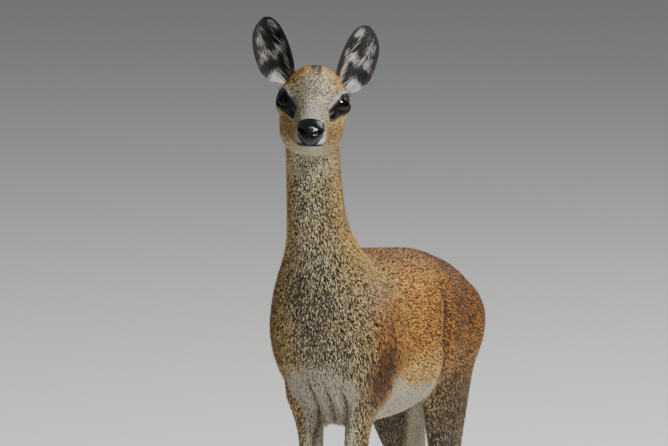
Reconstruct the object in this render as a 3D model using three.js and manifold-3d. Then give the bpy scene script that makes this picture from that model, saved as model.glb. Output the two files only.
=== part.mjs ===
// A standing female klipspringer, life size, in millimetres.
// +Z is up, the animal faces -Y, its left side is +X and its hooves stand on z = 0.
import * as THREE from "three";
import { mergeVertices } from "three/addons/utils/BufferGeometryUtils.js";
import Module from "manifold-3d";

const wasm = await Module();
wasm.setup();

// Driving dimensions.
const gap = 0.3;
const eyeRadius = 13.2;
const earLength = 84;
const earOuter = 25;
const earInner = 19;
const earWall = 2.4;
const earTilt = (x) => (x > 0 ? 17 : -25);
const earRoot = (x) => new THREE.Vector3(28 * x, 38, x > 0 ? 17 : 21);
const hoofHeight = 25;
const toeSpread = 7.6;
const headPlace = new THREE.Vector3(11.3, -229, 706);
const headYaw = 24;
const headPitch = 6;
const headRoll = 5;

const rad = THREE.MathUtils.degToRad;
const v3 = (x, y, z) => new THREE.Vector3(x, y, z);

// Colours, roughness and metalness of each sub-part.
const finish = (color, roughness) =>
  new THREE.MeshStandardMaterial({ color, roughness, metalness: 0 });
const coatFlank = finish(0x9a6a38, 0.9);
const coatNeck = finish(0x8a7a55, 0.9);
const coatFace = finish(0x9c8c72, 0.9);
const coatLeg = finish(0x8d7448, 0.9);
const earHair = finish(0x6f6a66, 0.9);
const wetBlack = finish(0x15161a, 0.25);
const eyeDark = finish(0x120b08, 0.08);
const horn = finish(0x24201d, 0.5);

// A section is an oval across a body part. top and low are the [y, z] ends of its long axis
// in the side view, half is half its width and x its distance from the middle line.
// level is how far up from low to top its widest line lies, and full is how square it is above
// and below that line: 2 is an ellipse.
const fields = ["ty", "tz", "ly", "lz", "x", "half", "level", "fullTop", "fullLow"];
const section = (top, low, half, { x = 0, level = 0.5, full = 2, low: fullLow = full } = {}) => ({
  ty: top[0],
  tz: top[1],
  ly: low[0],
  lz: low[1],
  x,
  half,
  level,
  fullTop: full,
  fullLow,
});

// The Catmull-Rom value between b and c, at share f of the way.
const between = (a, b, c, d, f) =>
  0.5 *
  (2 * b + (c - a) * f + (2 * a - 5 * b + 4 * c - d) * f * f + (3 * b - a - 3 * c + d) * f ** 3);

// Sections filled in smoothly, with perSpan steps from each one to the next.
function filled(sections, perSpan) {
  const last = sections.length - 1;
  const made = [];
  for (let step = 0; step <= last * perSpan; step++) {
    const i = Math.min(Math.floor(step / perSpan), last - 1);
    const f = step / perSpan - i;
    const near = [i - 1, i, i + 1, i + 2].map((k) => sections[THREE.MathUtils.clamp(k, 0, last)]);
    made.push(Object.fromEntries(fields.map((k) => [k, between(...near.map((s) => s[k]), f)])));
  }
  return made;
}

// One ring of points on a section's oval, from its top round by the left side.
function ringOf(s, sides, grow = 0) {
  const top = v3(s.x, s.ty, s.tz);
  const low = v3(s.x, s.ly, s.lz);
  const centre = low.clone().lerp(top, s.level);
  const up = top.clone().sub(low).normalize();
  const reachUp = top.distanceTo(centre) + grow;
  const reachLow = low.distanceTo(centre) + grow;
  return Array.from({ length: sides }, (_, k) => {
    const turn = (2 * Math.PI * k) / sides;
    const c = Math.cos(turn);
    const power = 2 / (c > 0 ? s.fullTop : s.fullLow);
    const along = Math.abs(c) ** power * (c > 0 ? reachUp : -reachLow);
    const sn = Math.sin(turn);
    const across = Math.sign(sn) * Math.abs(sn) ** power * (s.half + grow);
    return centre.clone().addScaledVector(up, along).add(v3(across, 0, 0));
  });
}

// A closed surface over rings of equal count: capped at both ends, or joined end to end.
function sheath(rings, looped = false) {
  const sides = rings[0].length;
  const points = rings.flat();
  const index = [];
  const spans = looped ? rings.length : rings.length - 1;
  for (let i = 0; i < spans; i++)
    for (let k = 0; k < sides; k++) {
      const a = i * sides + k;
      const b = i * sides + ((k + 1) % sides);
      const c = ((i + 1) % rings.length) * sides + ((k + 1) % sides);
      const d = ((i + 1) % rings.length) * sides + k;
      index.push(a, b, c, a, c, d);
    }
  if (!looped)
    for (const [first, flip] of [
      [0, true],
      [(rings.length - 1) * sides, false],
    ]) {
      const middle = points.length;
      const ring = points.slice(first, first + sides);
      points.push(ring.reduce((sum, p) => sum.add(p), v3(0, 0, 0)).divideScalar(sides));
      for (let k = 0; k < sides; k++) {
        const next = first + ((k + 1) % sides);
        index.push(...(flip ? [middle, next, first + k] : [middle, first + k, next]));
      }
    }
  return new THREE.BufferGeometry().setFromPoints(points).setIndex(index);
}

// A geometry as a solid, with its faces turned out.
function solidOf(geometry, matrix = new THREE.Matrix4()) {
  const plain = geometry.clone().applyMatrix4(matrix);
  plain.deleteAttribute("normal");
  plain.deleteAttribute("uv");
  const merged = mergeVertices(plain, 1e-3);
  const vertProperties = new Float32Array(merged.attributes.position.array);
  const triVerts = new Uint32Array(merged.index.array);
  const made = () => new wasm.Manifold(new wasm.Mesh({ numProp: 3, vertProperties, triVerts }));
  if (made().volume() >= 0) return made();
  for (let i = 0; i < triVerts.length; i += 3)
    [triVerts[i + 1], triVerts[i + 2]] = [triVerts[i + 2], triVerts[i + 1]];
  return made();
}

const loft = (sections, sides, perSpan, grow = 0) =>
  solidOf(sheath(filled(sections, perSpan).map((s) => ringOf(s, sides, grow))));

// A ball stretched along three axes and turned, centred at a point.
function ellipsoid(centre, radii, turn = new THREE.Quaternion(), width = 18, height = 12) {
  const place = new THREE.Matrix4().compose(centre, turn, v3(...radii));
  return solidOf(new THREE.SphereGeometry(1, width, height), place);
}

// A large block whose flat side passes through a point, on the side that the normal points to.
function halfSpace(point, normal) {
  const size = 1200;
  const turn = new THREE.Quaternion().setFromUnitVectors(v3(0, 0, 1), normal.clone().normalize());
  const block = new THREE.BoxGeometry(size, size, size).translate(0, 0, size / 2);
  return solidOf(block, new THREE.Matrix4().compose(point, turn, v3(1, 1, 1)));
}

// The largest closed body of a solid.
const largest = (solid) =>
  solid.decompose().reduce((best, s) => (s.volume() > best.volume() ? s : best));

function meshOf(name, solid, material) {
  const { numProp, numVert, vertProperties, triVerts } = largest(solid).getMesh();
  const position = new Float32Array(numVert * 3);
  for (let i = 0; i < numVert; i++)
    position.set(vertProperties.subarray(i * numProp, i * numProp + 3), i * 3);
  const geometry = new THREE.BufferGeometry();
  geometry.setAttribute("position", new THREE.BufferAttribute(position, 3));
  geometry.setIndex(new THREE.BufferAttribute(triVerts, 1));
  const mesh = new THREE.Mesh(geometry.toNonIndexed(), material);
  mesh.geometry.computeVertexNormals();
  mesh.name = name;
  return mesh;
}

// Trunk and neck, from the rump to the throat. The rings fan round the withers.
const spine = [
  section([196, 438], [196, 398], 20),
  section([191, 458], [189, 374], 35),
  section([174, 475], [172, 358], 46),
  section([143, 489], [142, 349], 55, { full: 2.1 }),
  section([102, 503], [104, 342], 63, { full: 2.1 }),
  section([54, 513], [56, 333], 72, { level: 0.48, full: 2.1 }),
  section([4, 519], [2, 323], 78, { level: 0.47, full: 2.1 }),
  section([-46, 524], [-52, 321], 78, { level: 0.47, full: 2.1 }),
  section([-86, 529], [-112, 326], 75, { level: 0.48, full: 2.1 }),
  section([-108, 534], [-164, 343], 72.5, { level: 0.45, full: 2 }),
  section([-125, 543], [-204, 386], 70, { level: 0.42, full: 1.85, low: 2.1 }),
  section([-141, 561], [-225, 447], 57, { level: 0.4, full: 1.85, low: 2.1 }),
  section([-154, 590], [-233, 512], 38, { level: 0.45 }),
  section([-160, 626], [-236, 578], 33.5, { x: -1.5 }),
  section([-163, 660], [-236, 632], 32, { x: -3 }),
  section([-168, 688], [-232, 666], 31, { x: -5 }),
  section([-177, 705], [-224, 694], 25, { x: -6 }),
];
const spineSides = 28;
const neckCutPoint = v3(0, -180, 524);
const neckCutNormal = v3(0, -0.62, 0.78);

const trunkAndNeck = loft(spine, spineSides, 2);
const trunkClear = loft(spine, spineSides, 2, gap);
const cutGap = neckCutNormal.clone().multiplyScalar(gap);
const torsoSolid = trunkAndNeck.intersect(
  halfSpace(neckCutPoint, neckCutNormal.clone().negate()),
);
const neckSolid = trunkAndNeck.intersect(
  halfSpace(neckCutPoint.clone().add(cutGap), neckCutNormal),
);

// Legs, from inside the trunk down to the coronet. back moves a foot along Y, and shank holds the
// rear and front of four sections between the haunch and the hock.
const legs = {
  fore: (x, back) => [
    section([-92, 486], [-150, 470], 16, { x: 38 * x }),
    section([-88, 452], [-176, 436], 25, { x: 41 * x }),
    section([-90, 408], [-182, 400], 22, { x: 38 * x }),
    section([-98, 376], [-178, 364], 25, { x: 36.5 * x }),
    section([-116, 346], [-174, 338], 19.5, { x: 31 * x }),
    section([-126, 312], [-170, 312], 16, { x: 28 * x }),
    section([-130, 268], [-166, 268], 14.5, { x: 27.5 * x }),
    section([-135, 226], [-162, 226], 12, { x: 28 * x }),
    section([-135 + back, 198], [-164 + back, 198], 13.2, { x: 29 * x }),
    section([-136 + back, 176], [-160 + back, 176], 11, { x: 30 * x }),
    section([-136 + back, 136], [-157 + back, 136], 9.8, { x: 32 * x }),
    section([-135 + back, 92], [-157 + back, 92], 9.8, { x: 35 * x }),
    section([-134 + back, 66], [-160 + back, 68], 11.6, { x: 37 * x }),
    section([-142 + back, 46], [-162 + back, 48], 10, { x: 38.5 * x }),
    section([-143 + back, 31], [-168 + back, 31], 13, { x: 40 * x }),
    section([-145 + back, hoofHeight], [-168 + back, hoofHeight], 12.5, { x: 40 * x }),
  ],
  hind: (x, back, shank) => [
    section([158, 458], [92, 466], 20, { x: 34 * x }),
    section([176, 432], [72, 442], 30, { x: 37 * x }),
    section([175, 398], [58, 402], 31, { x: 37 * x }),
    section([shank[0], 362], [shank[1], 366], 24.5, { x: 37 * x }),
    section([shank[2], 326], [shank[3], 330], 20.5, { x: 39 * x }),
    section([shank[4], 292], [shank[5], 294], 17, { x: 39 * x }),
    section([shank[6], 258], [shank[7], 254], 14, { x: 38.5 * x }),
    section([153 + back, 228], [117 + back, 222], 11.2, { x: 38 * x }),
    section([167 + back, 208], [131 + back, 196], 12.2, { x: 38 * x }),
    section([161 + back, 180], [132 + back, 174], 10.6, { x: 38 * x }),
    section([152 + back, 136], [128 + back, 134], 9.8, { x: 39 * x }),
    section([147 + back, 92], [124 + back, 90], 9.8, { x: 41 * x }),
    section([147 + back, 66], [120 + back, 68], 11.6, { x: 42 * x }),
    section([137 + back, 46], [117 + back, 48], 10, { x: 43 * x }),
    section([134 + back, 31], [110 + back, 31], 13, { x: 44 * x }),
    section([132 + back, hoofHeight], [110 + back, hoofHeight], 12.5, { x: 44 * x }),
  ],
};
const legSides = 16;
const legPerSpan = 2;
const leftShank = [155, 40, 139, 28, 127, 40, 117, 56];
const rightShank = [168, 44, 181, 42, 192, 64, 197, 106];
const limbs = [
  { name: "foreleg_left", kind: "fore", x: 1, back: 0 },
  { name: "foreleg_right", kind: "fore", x: -1, back: 0 },
  { name: "hindleg_left", kind: "hind", x: 1, back: -32, shank: leftShank },
  { name: "hindleg_right", kind: "hind", x: -1, back: 42, shank: rightShank },
];
const joints = { fore: { word: "knee", height: 198 }, hind: { word: "hock", height: 204 } };

// A toe's hoof: a blunt peg that stands on its tip.
function hoof(x, y, lean) {
  const sections = [
    section([y + 10, hoofHeight - gap], [y - 11, hoofHeight - gap], 6.6, { x }),
    section([y + 9.5, 16], [y - 12, 16], 6.7, { x }),
    section([y + 7.5, 6], [y - 12.5, 6], 6.4, { x: x + lean * 0.3 }),
    section([y + 5.5, 0.9], [y - 12, 0.9], 5.8, { x: x + lean * 0.5 }),
    section([y + 4.6, 0], [y - 11, 0], 5, { x: x + lean * 0.5 }),
  ];
  return loft(sections, 14, 1);
}

// A dew claw behind the fetlock: a small blunt cone.
function dewClaw(x, y, z, out) {
  const sections = [
    section([y + 0, z + 6], [y - 4, z - 2], 3.2, { x }),
    section([y + 4, z + 3], [y - 1, z - 4], 3.4, { x: x + out * 0.6 }),
    section([y + 7.5, z - 2], [y + 3, z - 6.5], 2.6, { x: x + out * 1.2 }),
    section([y + 8.5, z - 5.5], [y + 6.5, z - 7.5], 1.2, { x: x + out * 1.6 }),
  ];
  return loft(sections, 8, 1);
}

const animal = new THREE.Group();
const body = new THREE.Group();
animal.add(body);

for (const { name, kind, x, back, shank } of limbs) {
  const sections = legs[kind](x, back, shank);
  const joint = joints[kind];
  const foot = sections.at(-1);
  const fetlock = sections.at(-4);
  const [toeY, toeX] = [(foot.ty + foot.ly) / 2, foot.x];
  const claws = [-1, 1].map((out) => {
    const solid = dewClaw(fetlock.x + out * 7, fetlock.ty - 2.5, 58, out);
    return { out, solid };
  });
  const whole = loft(sections, legSides, legPerSpan);
  const rooted = largest(whole.subtract(trunkClear));
  const upper = rooted.intersect(halfSpace(v3(0, 0, joint.height + gap), v3(0, 0, 1)));
  const lower = rooted.intersect(halfSpace(v3(0, 0, joint.height), v3(0, 0, -1)));
  const grownLower = loft(sections, legSides, legPerSpan, gap);
  body.add(meshOf(`${name}_above_${joint.word}`, upper, coatLeg));
  body.add(meshOf(`${name}_below_${joint.word}`, lower, coatLeg));
  for (const { out, solid } of claws) {
    const side = out * x > 0 ? "outer" : "inner";
    body.add(meshOf(`${name}_dewclaw_${side}`, solid.subtract(grownLower), horn));
    const toe = hoof(toeX + out * toeSpread, toeY, out);
    body.add(meshOf(`${name}_hoof_${side}`, toe, horn));
  }
}

// A short tail that hangs against the rump.
const tail = loft(
  [
    section([180, 458], [176, 436], 9),
    section([200, 454], [188, 434], 11.5),
    section([212, 436], [196, 424], 12.5),
    section([216, 412], [200, 406], 11),
    section([214, 390], [202, 388], 8),
    section([210, 374], [204, 374], 3),
  ],
  14,
  2,
);
body.add(meshOf("torso", torsoSolid, coatFlank));
body.add(meshOf("tail", tail.subtract(trunkClear), coatFlank));

// The head, in a frame of its own between the eyes, with -Y forward along the palate.
const muzzle = (y, top, low, half, shape) => section([-y, top], [-y, low], half, shape);
const skull = [
  muzzle(-65.5, 5, -7, 5),
  muzzle(-63, 14, -15, 15),
  muzzle(-58, 25, -26, 24),
  muzzle(-46, 35.5, -40, 32),
  muzzle(-32, 42, -50, 36, { level: 0.56, low: 2.2 }),
  muzzle(-18, 43.5, -56, 38, { level: 0.57, low: 2.4 }),
  muzzle(-4, 40, -57, 38, { level: 0.58, low: 2.6 }),
  muzzle(10, 32, -55.5, 35, { level: 0.57, low: 2.5 }),
  muzzle(24, 22, -54, 29.5, { level: 0.54, low: 2.3 }),
  muzzle(38, 11.5, -53, 24, { level: 0.52, full: 2.1 }),
  muzzle(52, 2.5, -52.5, 20.5, { level: 0.5, full: 2.2 }),
  muzzle(66, -5.5, -52.5, 18.6, { level: 0.47, full: 2.3 }),
  muzzle(78, -12.5, -52, 17.2, { level: 0.45, full: 2.3 }),
  muzzle(86, -17.5, -51, 15, { level: 0.44, full: 2.2 }),
  muzzle(91, -22.5, -48.5, 11, { level: 0.42 }),
  muzzle(93, -29, -45.5, 6, { level: 0.42 }),
];
const skullSides = 28;
const skullLoft = loft(skull, skullSides, 2);
const skullClear = loft(skull, skullSides, 2, gap);
const headMatrix = new THREE.Matrix4().compose(
  headPlace,
  new THREE.Quaternion().setFromEuler(
    new THREE.Euler(-rad(headPitch), rad(headRoll), rad(headYaw), "ZXY"),
  ),
  v3(1, 1, 1),
);

// Each eye looks out, a little forward and up. slant runs from its inner corner to its outer one.
const eyeFrame = (x) => {
  const out = v3(0.82 * x, -0.53, 0.2).normalize();
  const along = v3(0.36 * x, 0.77, 0.53);
  const slant = along.addScaledVector(out, -along.dot(out)).normalize();
  const rise = slant.clone().cross(out).multiplyScalar(-x).normalize();
  return { centre: v3(27 * x, -2, 0.5), out, slant, rise };
};
const turnOf = (a, b, c) =>
  new THREE.Quaternion().setFromRotationMatrix(new THREE.Matrix4().makeBasis(a, b, c));

// Points round the almond between the lids, as directions from the middle of the eyeball.
function almond({ out, slant, rise }) {
  return Array.from({ length: 22 }, (_, i) => {
    const turn = (2 * Math.PI * i) / 22;
    const up = Math.sin(turn) * (Math.sin(turn) > 0 ? 0.66 : 0.56) * (1 - 0.2 * Math.cos(turn) ** 2);
    return out
      .clone()
      .multiplyScalar(0.72)
      .addScaledVector(slant, Math.cos(turn) * 1.2)
      .addScaledVector(rise, up)
      .normalize();
  });
}

// Both lids as one rim round the almond, and the opening inside it as a widening plug.
function lids(frame) {
  const aims = almond(frame);
  const rings = aims.map((aim, i) => {
    const bead = aim.dot(frame.rise) > 0.1 ? 2.2 : 1.8;
    const middle = frame.centre.clone().addScaledVector(aim, eyeRadius + 0.9);
    const ahead = aims[(i + 1) % aims.length].clone().sub(aims.at(i - 1));
    const across = ahead.cross(aim).normalize();
    return Array.from({ length: 6 }, (_, k) => {
      const spin = (2 * Math.PI * k) / 6;
      return middle
        .clone()
        .addScaledVector(aim, Math.cos(spin) * bead)
        .addScaledVector(across, Math.sin(spin) * bead);
    });
  });
  const plug = [3, 34].map((reach) =>
    aims.map((aim) => frame.centre.clone().addScaledVector(aim, reach)),
  );
  return { rim: solidOf(sheath(rings, true)), opening: solidOf(sheath(plug)) };
}

// The nose pad wraps the end of the muzzle.
const nosePad = [
  muzzle(71, -14, -30, 9),
  muzzle(76, -14, -36, 12.6, { level: 0.62, low: 1.7 }),
  muzzle(83, -16.6, -42, 14.6, { level: 0.62, low: 1.6 }),
  muzzle(90, -20.6, -45.5, 14, { level: 0.6, low: 1.6 }),
  muzzle(95, -25, -45.5, 11, { level: 0.58, low: 1.7 }),
  muzzle(97, -29.5, -42, 6, { level: 0.55 }),
];
const padLoft = loft(nosePad, 22, 2);
const padClear = loft(nosePad, 22, 2, gap);

// Half the head's width at a place on its side.
function headSide(forward, height) {
  const rings = filled(skull, 8);
  const s = rings.reduce((a, b) => (Math.abs(-b.ty - forward) < Math.abs(-a.ty - forward) ? b : a));
  const centre = s.lz + s.level * (s.tz - s.lz);
  const share = (height - centre) / (height > centre ? s.tz - centre : centre - s.lz);
  const full = height > centre ? s.fullTop : s.fullLow;
  return s.half * Math.max(0, 1 - Math.abs(share) ** full) ** (1 / full);
}

// The mouth, from its front to its corners: heights above the head's axis.
const mouthLine = (forward) => -45.4 + 7.5 * THREE.MathUtils.smoothstep(90 - forward, 0, 26);
const mouthCorner = 52;
const mouthFront = 88;

// A round groove along one side of the mouth, with the lips as its edges.
function mouthGroove(x) {
  const steps = 14;
  const rings = Array.from({ length: steps + 1 }, (_, i) => {
    const share = i / steps;
    const forward = mouthCorner + (mouthFront - mouthCorner) * share;
    const height = mouthLine(forward);
    const size = 0.5 + 1.4 * Math.min(1, 4 * share, 4 * (1.02 - share));
    return Array.from({ length: 8 }, (_, k) => {
      const spin = (2 * Math.PI * k) / 8;
      const side = x * headSide(forward, height) + Math.cos(spin) * size;
      return v3(side, -forward, height + Math.sin(spin) * size);
    });
  });
  return solidOf(sheath(rings));
}

// The open line of the mouth: a thin plate right across, cut away from the muzzle.
function mouthGap() {
  const steps = 8;
  const half = 0.6;
  const edge = (sign) =>
    Array.from({ length: steps + 1 }, (_, i) => {
      const forward = mouthCorner + ((102 - mouthCorner) * i) / steps;
      return new THREE.Vector2(forward, mouthLine(Math.min(forward, 90)) + sign * half);
    });
  const outline = new THREE.Shape([...edge(-1), ...edge(1).reverse()]);
  const plate = new THREE.ExtrudeGeometry(outline, { depth: 80, bevelEnabled: false, steps: 1 });
  plate.applyMatrix4(new THREE.Matrix4().makeBasis(v3(0, -1, 0), v3(0, 0, 1), v3(-1, 0, 0)));
  return solidOf(plate.translate(40, 0, 0));
}

// Half the breadth of an ear on one side, as a share of its widest, at a share of its height.
const leaf = (v, widest, base) =>
  v < widest
    ? base + (1 - base) * Math.sin((Math.PI * v) / widest / 2) ** 0.62
    : Math.max(0, 1 - ((v - widest) / (1 - widest)) ** 2.7) ** 0.5;

// The ear: a cupped leaf, wide low down on its outer side, with a wall of even thickness.
function ear(x) {
  const across = 10;
  const along = 15;
  const point = (u, v, inner) => {
    const half = u > 0 ? earOuter * leaf(v, 0.36, 0.3) : earInner * leaf(v, 0.42, 0.62);
    const curl = 1.2 - 0.55 * v;
    const flat = Math.max(half, 1) / Math.sin(curl);
    const wall = inner ? Math.min(earWall * (1.1 - 0.5 * v), flat * 0.6) : 0;
    const depth = (1 - Math.cos(u * curl)) * flat;
    return v3(Math.sin(u * curl) * (flat - wall), -depth - wall - 7 * v * v, earLength * v);
  };
  const rows = Array.from({ length: along + 1 }, (_, j) => {
    const v = Math.sin((Math.PI * j) / along / 2) ** 1.15;
    const share = (i) => (2 * i) / across - 1;
    const back = Array.from({ length: across + 1 }, (_, i) => point(share(i), v, false));
    const cup = Array.from({ length: across + 1 }, (_, i) => point(-share(i), v, true));
    return [...back, ...cup];
  });
  const place = new THREE.Matrix4().compose(
    earRoot(x),
    new THREE.Quaternion().setFromEuler(new THREE.Euler(rad(-24), rad(earTilt(x)), rad(20 * x), "YXZ")),
    v3(x, 1, 1),
  );
  return solidOf(sheath(rows), place);
}

const head = new THREE.Group();
head.position.copy(headPlace);
head.rotation.set(-rad(headPitch), rad(headRoll), rad(headYaw), "ZXY");
animal.add(head);

let headSolid = skullLoft;
const eyes = [];
for (const x of [1, -1]) {
  const frame = eyeFrame(x);
  const mound = ellipsoid(
    frame.centre,
    [23.5, 19.5, 11.3],
    turnOf(frame.slant, frame.rise, frame.slant.clone().cross(frame.rise)),
    18,
    12,
  );
  const { rim, opening } = lids(frame);
  headSolid = headSolid.add(mound).subtract(opening).add(rim);
  headSolid = headSolid.subtract(mouthGroove(x));
  eyes.push({ x, frame });
}
for (const { frame } of eyes)
  headSolid = headSolid.subtract(ellipsoid(frame.centre, Array(3).fill(eyeRadius + gap)));

// The gland in front of each eye: a shallow slot that runs down towards the nose.
for (const x of [1, -1]) {
  const turn = new THREE.Quaternion().setFromEuler(new THREE.Euler(rad(24), 0, rad(18 * x), "ZYX"));
  const place = v3(x * (headSide(40, -12.5) + 1.2), -40, -12.5);
  headSolid = headSolid.subtract(ellipsoid(place, [3.2, 8, 3.4], turn, 12, 8));
}
headSolid = headSolid.subtract(padClear).subtract(mouthGap());
head.add(meshOf("head", headSolid, coatFace));
for (const { x, frame } of eyes) {
  const ball = ellipsoid(frame.centre, Array(3).fill(eyeRadius), undefined, 20, 14);
  head.add(meshOf(x > 0 ? "eye_left" : "eye_right", ball, eyeDark));
}

// The nostrils are comma-shaped, wide inside and narrow at the side of the pad.
let pad = padLoft;
for (const x of [1, -1]) {
  const turn = new THREE.Quaternion().setFromEuler(new THREE.Euler(0, rad(-24 * x), rad(-38 * x)));
  pad = pad.subtract(ellipsoid(v3(9 * x, -93, -31), [4.6, 5.4, 2.6], turn, 12, 8));
  pad = pad.subtract(ellipsoid(v3(13 * x, -90, -28.5), [3.4, 3.6, 1.5], turn, 10, 8));
}
head.add(meshOf("nose", pad.subtract(mouthGap()), wetBlack));
for (const x of [1, -1]) {
  const rooted = ear(x).subtract(skullClear);
  head.add(meshOf(x > 0 ? "ear_left" : "ear_right", rooted, earHair));
}

const headClear = solidOf(
  sheath(filled(skull, 2).map((s) => ringOf(s, skullSides, gap))),
  headMatrix,
);
body.add(meshOf("neck", neckSolid.subtract(headClear), coatNeck));

// The middle of the bounds stands over the origin.
const bounds = new THREE.Box3().setFromObject(animal, true);
const middle = bounds.getCenter(v3(0, 0, 0));
animal.position.set(-middle.x, -middle.y, -bounds.min.z);

export default animal;
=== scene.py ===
"""A standing female klipspringer, life size: one skin, a speckled coat of tufts, eyes, nose and hooves.

Every shape is worked out in millimetres in the animal's own drawing, where y = 0 lies under the
back, -y is forward, +x is its left and z = 0 is the ground. placed() turns that into metres in
the frame of the CAD model.
"""

import bpy
import numpy as np
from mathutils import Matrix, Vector
from mathutils.bvhtree import BVHTree


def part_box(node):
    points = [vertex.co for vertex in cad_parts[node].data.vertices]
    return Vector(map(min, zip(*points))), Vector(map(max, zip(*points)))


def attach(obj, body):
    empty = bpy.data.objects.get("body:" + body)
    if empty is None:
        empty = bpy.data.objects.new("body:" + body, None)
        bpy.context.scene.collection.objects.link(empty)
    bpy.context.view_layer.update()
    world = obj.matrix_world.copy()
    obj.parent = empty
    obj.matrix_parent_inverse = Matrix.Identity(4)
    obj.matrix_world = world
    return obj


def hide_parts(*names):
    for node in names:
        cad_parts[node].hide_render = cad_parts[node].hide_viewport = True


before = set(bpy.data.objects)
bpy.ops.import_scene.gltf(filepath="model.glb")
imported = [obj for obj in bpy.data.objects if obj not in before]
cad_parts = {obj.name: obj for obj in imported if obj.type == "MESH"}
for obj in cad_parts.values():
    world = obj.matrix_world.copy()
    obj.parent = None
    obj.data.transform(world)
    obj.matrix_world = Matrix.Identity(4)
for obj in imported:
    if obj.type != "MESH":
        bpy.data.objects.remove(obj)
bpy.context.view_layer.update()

# The drawing's zero line in the frame, from the rear of a front hoof, 146.5 mm in front of it.
HOOF_REAR = -146.5
LEFT_HOOF, RIGHT_HOOF = (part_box(f"foreleg_{side}_hoof_outer") for side in ("left", "right"))
SHIFT = np.array([
    (LEFT_HOOF[1].x + RIGHT_HOOF[0].x) * 500,
    LEFT_HOOF[1].y * 1000 - HOOF_REAR,
    0.0,
])

# The head's place and turn, and the sizes of what it carries, in millimetres and degrees.
HEAD_PLACE = np.array([11.3, -229.0, 706.0])
HEAD_YAW, HEAD_PITCH, HEAD_ROLL = 24, -6, 5
EYE_RADIUS = 13.2
EYE_CENTRE = np.array([27.0, -2.0, 0.5])
EAR_LENGTH, EAR_OUTER, EAR_INNER, EAR_WALL = 84, 25, 19, 2.0
EAR_PITCH, EAR_SPIN = -24, 20
EAR_TILT = {1: 17, -1: -25}
EAR_ROOT_Z = {1: 17, -1: 21}
HOOF_HEIGHT = 25
TOE_SPREAD = 7.6
SIDES = (1, -1)
SIDE_NAME = {1: "left", -1: "right"}

rng = np.random.default_rng(417)


def ramp(value, low, high):
    """A share from 0 at low to 1 at high, level at both ends: 3t² - 2t³."""
    t = np.clip((value - low) / (high - low), 0, 1)
    return t * t * (3 - 2 * t)


def bell(value, middle, width):
    """A hump of height 1 at the middle that fades within about twice the width."""
    return np.exp(-(((value - middle) / width) ** 2))


def smooth_max(a, b, blend):
    """The larger of two values, rounded where they differ by less than blend."""
    share = np.clip(0.5 + 0.5 * (a - b) / blend, 0, 1)
    return b + (a - b) * share + blend * share * (1 - share)


def unit(vectors):
    """Each vector divided by its length."""
    return vectors / (np.linalg.norm(vectors, axis=-1, keepdims=True) + 1e-12)


def turned(axis, degrees):
    """The matrix of a turn about the x, y or z axis."""
    c, s = np.cos(np.radians(degrees)), np.sin(np.radians(degrees))
    i, j = {"x": (1, 2), "y": (2, 0), "z": (0, 1)}[axis]
    matrix = np.eye(3)
    matrix[[i, j], [i, j]] = c
    matrix[i, j], matrix[j, i] = -s, s
    return matrix


HEAD_TURN = turned("z", HEAD_YAW) @ turned("x", HEAD_PITCH) @ turned("y", HEAD_ROLL)


def from_head(points):
    """Points of the head's own frame, turned and moved to their place on the neck."""
    return points @ HEAD_TURN.T + HEAD_PLACE


def to_head(points):
    """Points of the drawing in the head's own frame."""
    return (points - HEAD_PLACE) @ HEAD_TURN


def placed(points):
    """Drawing millimetres as metres in the frame of the CAD model."""
    return (points + SHIFT) / 1000


def tone(red, green, blue):
    """A colour given from 0 to 255 as on a screen, in linear light."""
    value = np.array([red, green, blue]) / 255
    return np.where(value < 0.04045, value / 12.92, ((value + 0.055) / 1.055) ** 2.4)


def hashed(cells, salt):
    """A repeatable number from 0 to 1 for every whole-number cell."""
    mix = (cells.astype(np.int64) * np.array([73856093, 19349663, 83492791])).sum(-1) + salt * 40503
    mix = (mix ^ (mix >> 13)) * 1274126177
    mix = mix ^ (mix >> 16)
    return (mix & 0xFFFFF) / 0x100000


def cloud(points, size, salt):
    """Soft noise from 0 to 1: random values on a grid of that size, blended between its corners."""
    place = points / size
    cell = np.floor(place)
    f = place - cell
    f = f * f * (3 - 2 * f)
    total = np.zeros(len(points))
    for corner in np.ndindex(2, 2, 2):
        weight = np.prod(np.where(np.array(corner) == 1, f, 1 - f), axis=-1)
        total += weight * hashed(cell + corner, salt)
    return total


# Sections of the body.


def oval(top, low, half, x=0.0, level=0.5, full=2.0, low_full=None):
    """One section: the [y, z] ends of its long axis, half its width, its distance from the middle
    line, how far up its widest line lies, and how square it is above and below that line."""
    return [*top, *low, half, x, level, full, full if low_full is None else low_full]


def filled(rows, steps):
    """Catmull-Rom values through the rows, at evenly spaced shares of the way."""
    rows = np.asarray(rows, float)
    share = np.linspace(0, len(rows) - 1, steps)
    i = np.minimum(share.astype(int), len(rows) - 2)
    f = (share - i)[:, None]
    a, b, c, d = (rows[np.clip(i + k, 0, len(rows) - 1)] for k in (-1, 0, 1, 2))
    return 0.5 * (
        2 * b + (c - a) * f + (2 * a - 5 * b + 4 * c - d) * f**2 + (3 * b - a - 3 * c + d) * f**3
    )


def spaced(rows, count):
    """The filled rows again, at equal steps along the path of their ends and width."""
    fine = filled(rows, 900)
    step = np.linalg.norm(np.diff(fine[:, :5], axis=0), axis=1)
    along = np.concatenate([[0], np.cumsum(step)])
    at = np.linspace(0, along[-1], count)
    return np.stack([np.interp(at, along, column) for column in fine.T], axis=1)


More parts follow.
